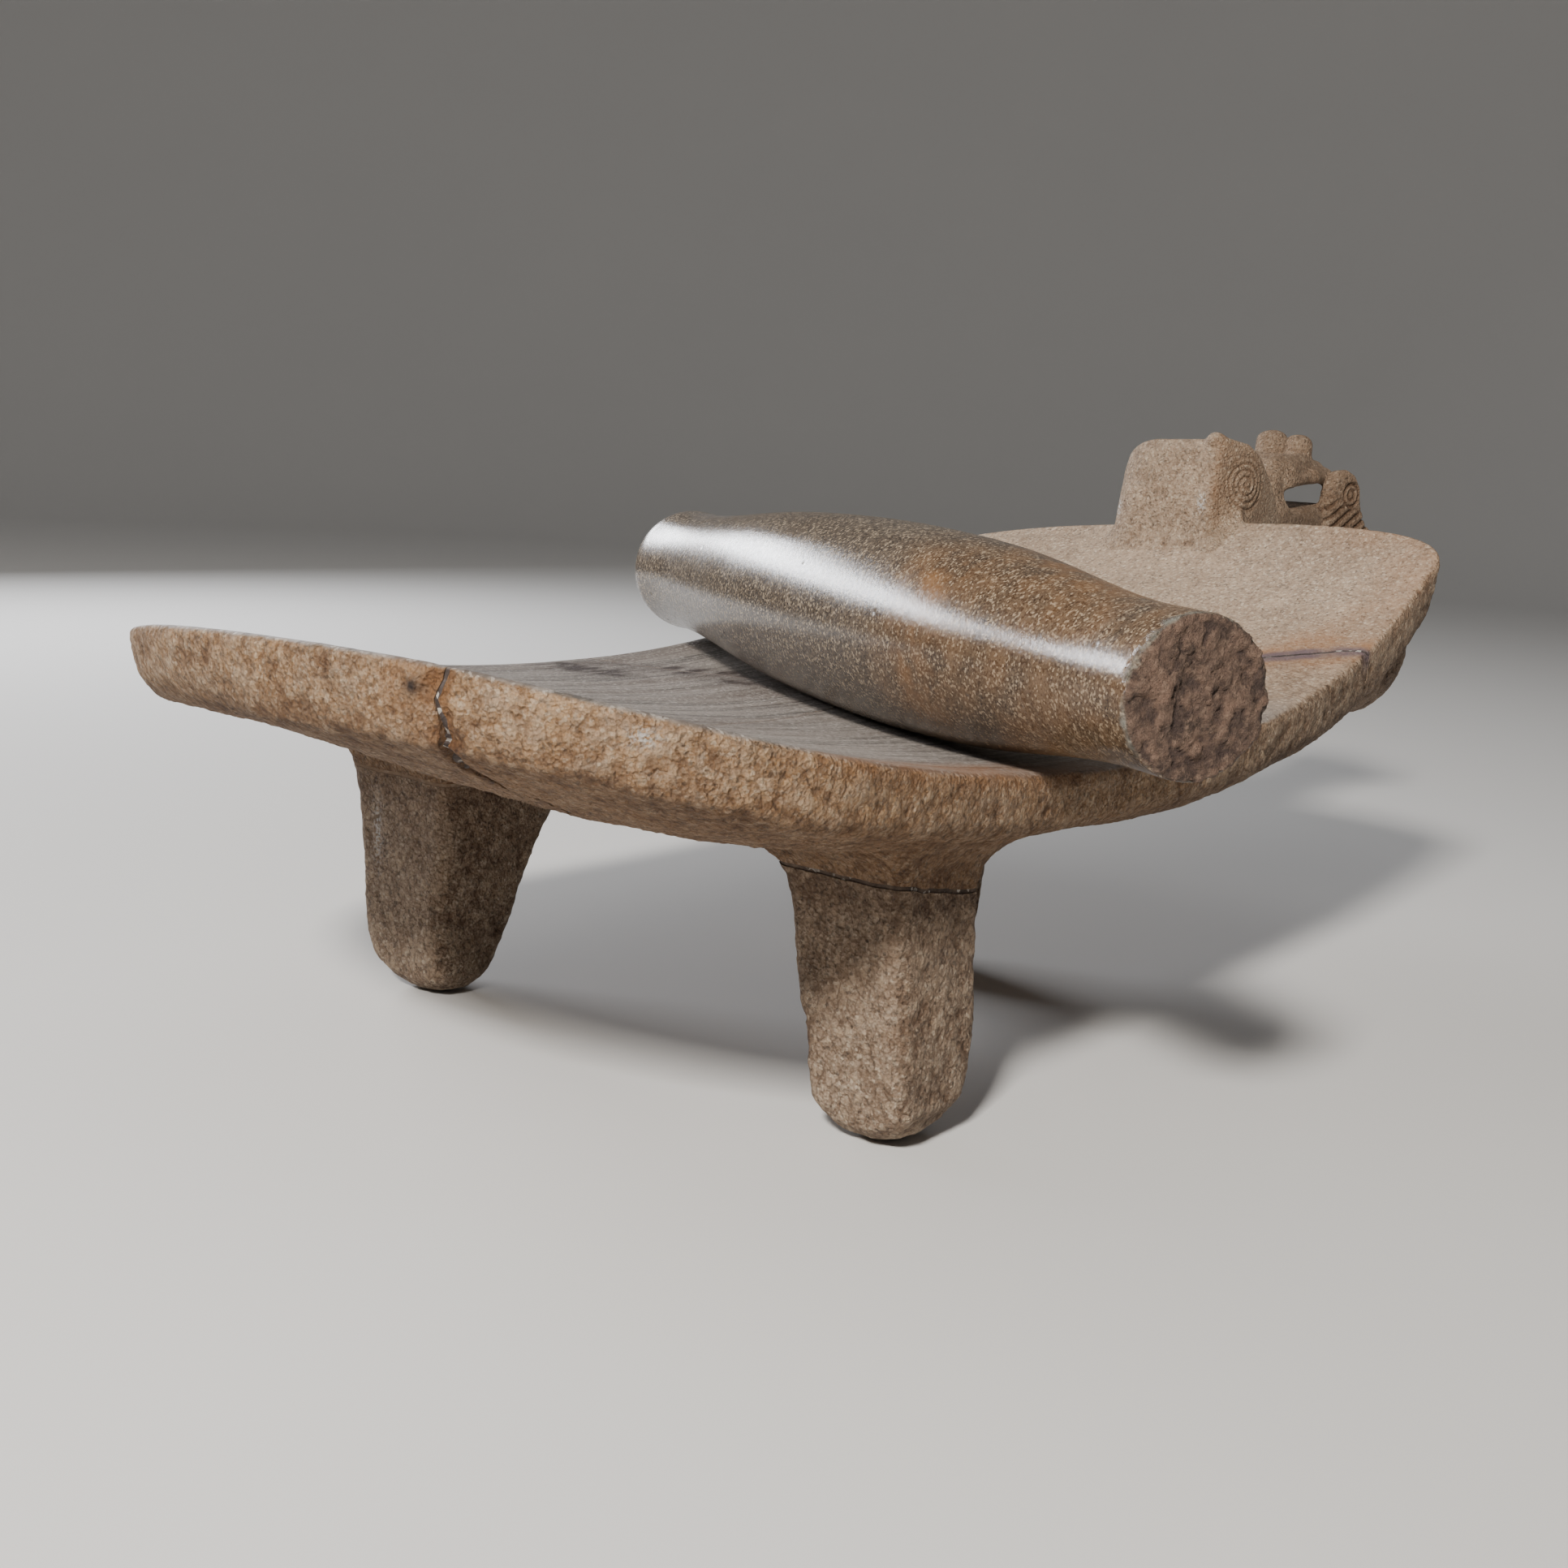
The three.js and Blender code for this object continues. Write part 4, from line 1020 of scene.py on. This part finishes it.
def mano_stone(name):
    g = Graph(name)
    big = g.noise(14.0, 4.0, 0.55)
    med = g.noise(70.0, 5.0, 0.6)
    fine = g.noise(520.0, 4.0, 0.65)
    col = g.mix(g.range(med, 0.35, 0.66), (0.046, 0.033, 0.023), (0.086, 0.063, 0.043))
    col = g.mix(g.range(big, 0.42, 0.66, 0.0, 0.55), col, (0.085, 0.072, 0.060))
    cell = g.cell(1150.0)
    a, b = g.channel(cell, 0), g.channel(cell, 1)
    col = g.mix(g.range(a, 0.70, 0.84, 0.0, 0.75), col, (0.34, 0.27, 0.19))
    col = g.mix(g.range(b, 0.58, 0.76, 0.0, 0.90), col, (0.020, 0.013, 0.009))
    col = g.mix(g.range(g.channel(g.cell(1700.0), 0), 0.50, 1.0, 0.0, 0.45), col, (0.21, 0.155, 0.102))
    col = g.mix(g.math("MULTIPLY", g.attr("rust"), g.range(med, 0.35, 0.6, 0.15, 0.70)), col, (0.215, 0.100, 0.032))
    # painted bluish sheen near the unbroken end, from the blue mask
    col = g.mix(g.math("MULTIPLY", g.attr("blue"), g.range(med, 0.35, 0.6, 0.1, 0.55)), col, (0.20, 0.215, 0.235))
    col = g.mix(g.math("MULTIPLY", g.attr("pit"), 0.8), col, (0.04, 0.03, 0.025))
    col = g.mix(g.attr("chip"), col, (0.72, 0.68, 0.60))
    # rough broken end
    bc = g.mix(g.range(g.noise(120.0, 6.0, 0.65), 0.38, 0.62), (0.058, 0.034, 0.023), (0.170, 0.102, 0.069))
    bc = g.mix(g.range(fine, 0.46, 0.72, 0.0, 0.75), bc, (0.25, 0.165, 0.115))
    # painted shade in the hollows of the broken face
    bc = g.mix(g.range(g.attr("hollow"), 0.0, 0.55, 0.0, 0.85), bc, (0.045, 0.026, 0.02))
    col = g.mix(g.attr("broken"), col, bc)
    rimc = g.mix(g.range(g.noise(260.0, 4.0, 0.6), 0.42, 0.6), (0.06, 0.058, 0.046), (0.27, 0.27, 0.225))
    col = g.mix(g.math("MULTIPLY", g.attr("rim"), 0.7), col, rimc)
    br = g.math("MAXIMUM", g.attr("broken"), g.attr("rim"))
    rough = g.math("ADD", g.range(fine, 0.3, 0.72, 0.17, 0.29), g.math("MULTIPLY", br, 0.5))
    rough = g.math("ADD", rough, g.range(big, 0.35, 0.7, -0.03, 0.06))
    smooth_b = g.bump(g.math("MULTIPLY", g.math("SUBTRACT", fine, 0.5), g.range(br, 0.0, 1.0, 0.10, 1.4)), 0.8, 0.0010)
    lump = g.math("ADD", g.math("MULTIPLY", g.channel(g.cell(420.0), 1), 0.6), g.noise(330.0, 5.0, 0.75))
    n = g.bump(g.math("MULTIPLY", g.math("SUBTRACT", lump, 0.8), g.range(br, 0.0, 1.0, 0.0, 1.0)), 1.0, 0.0034, smooth_b)
    return g.finish(col, rough, n, 0.45)


TAN = dict(light=(0.430, 0.245, 0.105), mid=(0.275, 0.148, 0.060), dark=(0.155, 0.080, 0.034), ground_tone=(0.200, 0.176, 0.154))
# a darker copy of TAN: painted shade on the near-left fragment
LEFT = dict(light=(0.375, 0.213, 0.092), mid=(0.240, 0.130, 0.055), dark=(0.135, 0.070, 0.031), ground_tone=(0.196, 0.172, 0.151))
FAR = dict(light=(0.370, 0.258, 0.168), mid=(0.262, 0.174, 0.108), dark=(0.186, 0.118, 0.070), ground_tone=(0.204, 0.178, 0.153))
mats = {
    "plate_near_left": stone("stone_near_left", **LEFT, other=FAR),
    "plate_near_right": stone("stone_near_right", **TAN, other=FAR),
    "plate_head_end": stone("stone_head_end", **TAN, other=FAR, grain=1.3, peck=0.0016, peck_shading=0.6),
    "head": stone("stone_head", **FAR, grain=1.1, peck=0.0012, peck_shading=0.42),
    "legs": stone("stone_legs", (0.370, 0.255, 0.165), (0.235, 0.152, 0.094), (0.135, 0.084, 0.050), (0.24, 0.19, 0.15), grain=1.3),
    "fill": fill_stuff("break_fill", (0.040, 0.029, 0.025), (0.120, 0.100, 0.092), (0.014, 0.010, 0.009), (0.150, 0.127, 0.110)),
    "leg_fill": fill_stuff("leg_break_fill", (0.060, 0.042, 0.032), (0.13, 0.095, 0.072), (0.022, 0.015, 0.012), (0.150, 0.100, 0.066)),
    "mano": mano_stone("hand_stone"),
}
SLOTS = {"plate_head_end": "plate_head_end", "plate_near_left": "plate_near_left", "plate_near_right": "plate_near_right",
         "seam_fill_diagonal": "fill", "seam_fill_near": "fill", "leg_near_left": "legs", "leg_near_right": "legs",
         "leg_head_end": "legs", "seam_leg_near_left": "leg_fill", "seam_leg_near_right": "leg_fill",
         "head_effigy": "head", "mano": "mano"}
for node, me in pieces.items():
    me.materials.clear()
    me.materials.append(mats[SLOTS[node]])
    biggest_only(me)
    me.shade_smooth()
    me.set_sharp_from_angle(angle=math.radians(62))
    me.name = "stone_" + node
    ob = make_object("stone_" + node, me)
    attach(ob, "mano" if node == "mano" else "metate")
    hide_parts(node)
    print("PIECE", node, len(me.vertices), len(me.polygons))

# ------------------------------------------------------------------ floor and light
prof = [(0.0, 0.0)] + [(3.2 * i / 6, 0.0) for i in range(1, 7)]
prof += [(3.2 + 2.4 * math.sin(a), 2.4 - 2.4 * math.cos(a)) for a in np.linspace(0.12, math.pi / 2, 12)] + [(5.6, 4.2)]
V, Fc, K = [], [], 72
for r_, z_ in prof[1:]:
    for k in range(K):
        a = 2 * math.pi * k / K
        V.append((r_ * math.cos(a), r_ * math.sin(a), z_ - 0.0004))
V.append((0, 0, -0.0004))
for i in range(len(prof) - 2):
    for k in range(K):
        Fc.append((i * K + k, (i + 1) * K + k, (i + 1) * K + (k + 1) % K, i * K + (k + 1) % K))
for k in range(K):
    Fc.append((len(V) - 1, k, (k + 1) % K))
fm = bpy.data.meshes.new("floor"); fm.from_pydata(V, [], Fc); fm.shade_smooth()
floor = bpy.data.objects.new("floor", fm)
bpy.context.scene.collection.objects.link(floor)
fg = Graph("floor")
fm.materials.append(fg.finish(fg.mix(fg.noise(2.0), (0.62, 0.61, 0.59), (0.60, 0.59, 0.575)), 0.9, fg.bump(fg.noise(30.0), 0.02, 0.001), 0.2))


def area(name, at, aim, size, power, color=(1, 1, 1)):
    L = bpy.data.lights.new(name, "AREA")
    L.shape = "RECTANGLE"; L.size, L.size_y = size
    L.energy = power; L.color = color
    o = bpy.data.objects.new(name, L)
    bpy.context.scene.collection.objects.link(o)
    o.location = at
    o.rotation_euler = (Vector(aim) - Vector(at)).to_track_quat("-Z", "Y").to_euler()
    return o


area("key", (-1.85, -0.60, 1.45), (-0.1, 0, 0.12), (0.30, 0.30), 92, (1.0, 0.96, 0.91))
area("side", (0.05, 1.75, 0.74), (-0.05, 0, 0.15), (1.5, 0.28), 34, (0.93, 0.95, 1.0))
area("over", (0.2, 0.1, 2.2), (0, 0, 0), (1.8, 1.8), 6, (1.0, 0.98, 0.96))
world = bpy.data.worlds.new("studio")
bpy.context.scene.world = world
world.use_nodes = True
world.node_tree.nodes["Background"].inputs[0].default_value = (0.9, 0.93, 1.0, 1.0)
world.node_tree.nodes["Background"].inputs[1].default_value = 0.10

# ------------------------------------------------------------------ camera, where the photograph was taken from
yaw, pitch, roll = 0.6573, 0.1831, 0.0621
fw = Vector((math.cos(yaw) * math.cos(pitch), math.sin(yaw) * math.cos(pitch), -math.sin(pitch)))
rt = Vector((math.sin(yaw), -math.cos(yaw), 0.0))
up = rt.cross(fw)
r2 = rt * math.cos(roll) + up * math.sin(roll)
u2 = -rt * math.sin(roll) + up * math.cos(roll)
cam = bpy.data.cameras.new("camera")
cam.sensor_width = 36.0
cam.lens = 36.0 * 2300.19 / 1932.0
cam.clip_start, cam.clip_end = 0.01, 50.0
co = bpy.data.objects.new("camera", cam)
bpy.context.scene.collection.objects.link(co)
co.matrix_world = Matrix(((r2.x, u2.x, -fw.x, -0.7613), (r2.y, u2.y, -fw.y, -0.45376), (r2.z, u2.z, -fw.z, 0.2446), (0, 0, 0, 1)))
bpy.context.scene.camera = co
